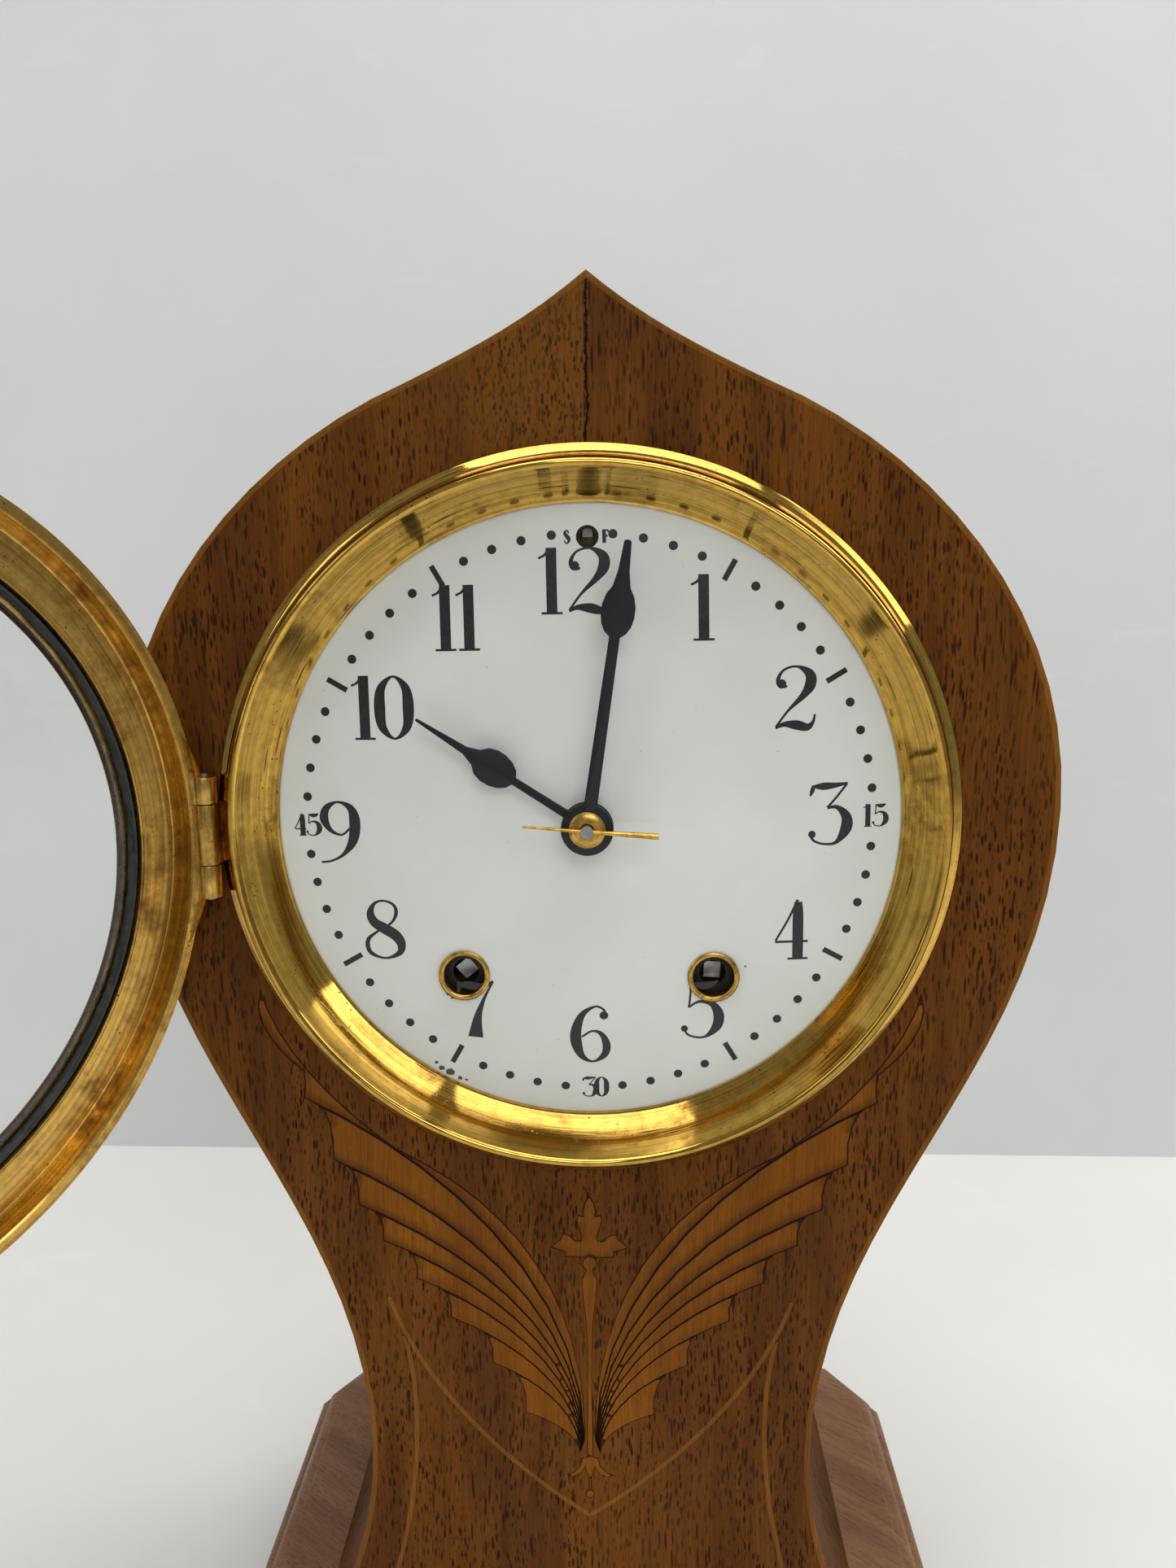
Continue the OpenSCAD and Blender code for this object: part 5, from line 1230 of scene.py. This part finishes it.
def buildBackScrews():
    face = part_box("back_panel")[1].y / mm
    radius, rise = backScrew["radius"], backScrew["rise"]
    outline = [(0.0, face), (radius, face), (radius, face + 0.25), (radius * 0.8, face + rise * 0.7),
               (radius * 0.4, face + rise * 0.95),
               (0.0, face + rise)]
    for number, (across, up) in enumerate(backScrew["places"]):
        obj = spinOutline("backScrew%02d" % number, outline, 40, across, up)
        deselectAll()
        bpy.ops.mesh.primitive_cube_add(size=1, location=placed(across, face + rise, up),
                                        rotation=(0, random.uniform(0, math.pi), 0))
        cutter = bpy.context.object
        cutter.scale = (radius * 3 * mm, rise * mm, backScrew["slotWidth"] * mm)
        cutAway(obj, cutter)
        finishPiece(obj, "case", finishes["steel"], 35)


buildBackScrews()
print("case and fittings ready")


# room, lights and camera

room = {"wallDepth": 0.293, "size": 5.0}


def stageMaterial(name, low, high, oneSided=False):
    material, tree, shader, place = newMaterial(name, Roughness=0.75)
    wide = cloud(tree, place, (6, 6, 6), 4, 0.55)
    streak = cloud(tree, place, (18, 18, 60), 4, 0.6, 0.5)
    patches = ramp(tree, streak, 0.62, 0.72, 0, 0.45)
    tone = blendColour(tree, ramp(tree, wide, 0.3, 0.7), low, high)
    tone = blendColour(tree, patches, tone, tuple(min(1.0, c * 1.03) for c in high[:3]) + (1,))
    feed(tree, shader.inputs["Base Color"], tone)
    bump(tree, shader, streak, 0.15, 0.0006)
    if oneSided:
        clear = addNode(tree, "ShaderNodeBsdfTransparent")
        mixed = addNode(tree, "ShaderNodeMixShader")
        feed(tree, mixed.inputs[0], addNode(tree, "ShaderNodeNewGeometry").outputs["Backfacing"])
        feed(tree, mixed.inputs[1], shader.outputs[0])
        feed(tree, mixed.inputs[2], clear.outputs[0])
        output = next(n for n in tree.nodes if n.type == "OUTPUT_MATERIAL")
        feed(tree, output.inputs[0], mixed.outputs[0])
    return material


def buildRoom():
    deselectAll()
    bpy.ops.mesh.primitive_plane_add(size=room["size"], location=(0, 0, 0))
    floor = bpy.context.object
    floor.name = "floor"
    dress(floor, stageMaterial("paleTable", (0.8, 0.795, 0.77, 1), (0.84, 0.83, 0.8, 1)))
    bpy.ops.mesh.primitive_plane_add(size=room["size"], location=(0, room["wallDepth"], room["size"] / 2),
                                     rotation=(math.pi / 2, 0, 0))
    wall = bpy.context.object
    wall.name = "wall"
    bpy.ops.object.transform_apply(location=True, rotation=True, scale=True)
    dress(wall, stageMaterial("paleWall", (0.7, 0.71, 0.71, 1), (0.74, 0.745, 0.745, 1), True))


lights = {
    # place, aim, size, power and colour
    "ceilingPanel": ((0.05, -0.22, 1.6), (0, -0.02, 0.2), (1.3, 0.8), 10.3, (1.0, 0.995, 0.98)),
    "tableFill": ((1.1, 0.05, 1.1), (0.35, 0.2, 0.1), (0.8, 0.8), 6.5, (1.0, 0.99, 0.97)),
    "sideFill": ((-1.3, -0.9, 0.8), (0, 0, 0.2), (0.5, 1.1), 3.0, (0.97, 0.985, 1.0)),
    "frontFill": ((0.35, -1.5, 1.25), (0, 0, 0.25), (1.1, 0.8), 7.5, (0.98, 0.995, 1.0)),
    "rearFill": ((0.6, 1.4, 1.1), (0, 0, 0.2), (1.0, 1.0), 6.0, (1, 1, 1)),
}
surround = {"colour": (0.8, 0.82, 0.84, 1), "strength": 0.32}


def buildLights():
    world = bpy.data.worlds.new("softRoom")
    world.use_nodes = True
    background = world.node_tree.nodes["Background"]
    background.inputs["Color"].default_value = surround["colour"]
    background.inputs["Strength"].default_value = surround["strength"]
    bpy.context.scene.world = world
    for name, (place, aim, size, power, colour) in lights.items():
        data = bpy.data.lights.new(name, "AREA")
        data.shape = "RECTANGLE"
        data.size, data.size_y = size
        data.energy = power
        data.color = colour
        lamp = linked(name, data)
        lamp.location = place
        lamp.rotation_euler = (Vector(aim) - Vector(place)).to_track_quat("-Z", "Y").to_euler()


# angles in degrees: a turn about the upright, a tilt from straight down, and a roll
view = {"sensor": 36.0, "lens": 28.02, "place": (0.0080, -0.3157, 0.3114), "turn": 1.72, "tilt": 79.65,
        "roll": -0.21}


def buildCamera():
    data = bpy.data.cameras.new("camera")
    data.sensor_width = view["sensor"]
    data.lens = view["lens"]
    camera = linked("camera", data)
    camera.location = view["place"]
    turn = Matrix.Rotation(math.radians(view["turn"]), 4, "Z") @ Matrix.Rotation(math.radians(view["tilt"]),
            4, "X")
    turn = turn @ Matrix.Rotation(math.radians(view["roll"]), 4, "Z")
    camera.rotation_euler = turn.to_euler()
    bpy.context.scene.camera = camera


buildRoom()
buildLights()
buildCamera()
bpy.context.scene.view_settings.view_transform = "Standard"
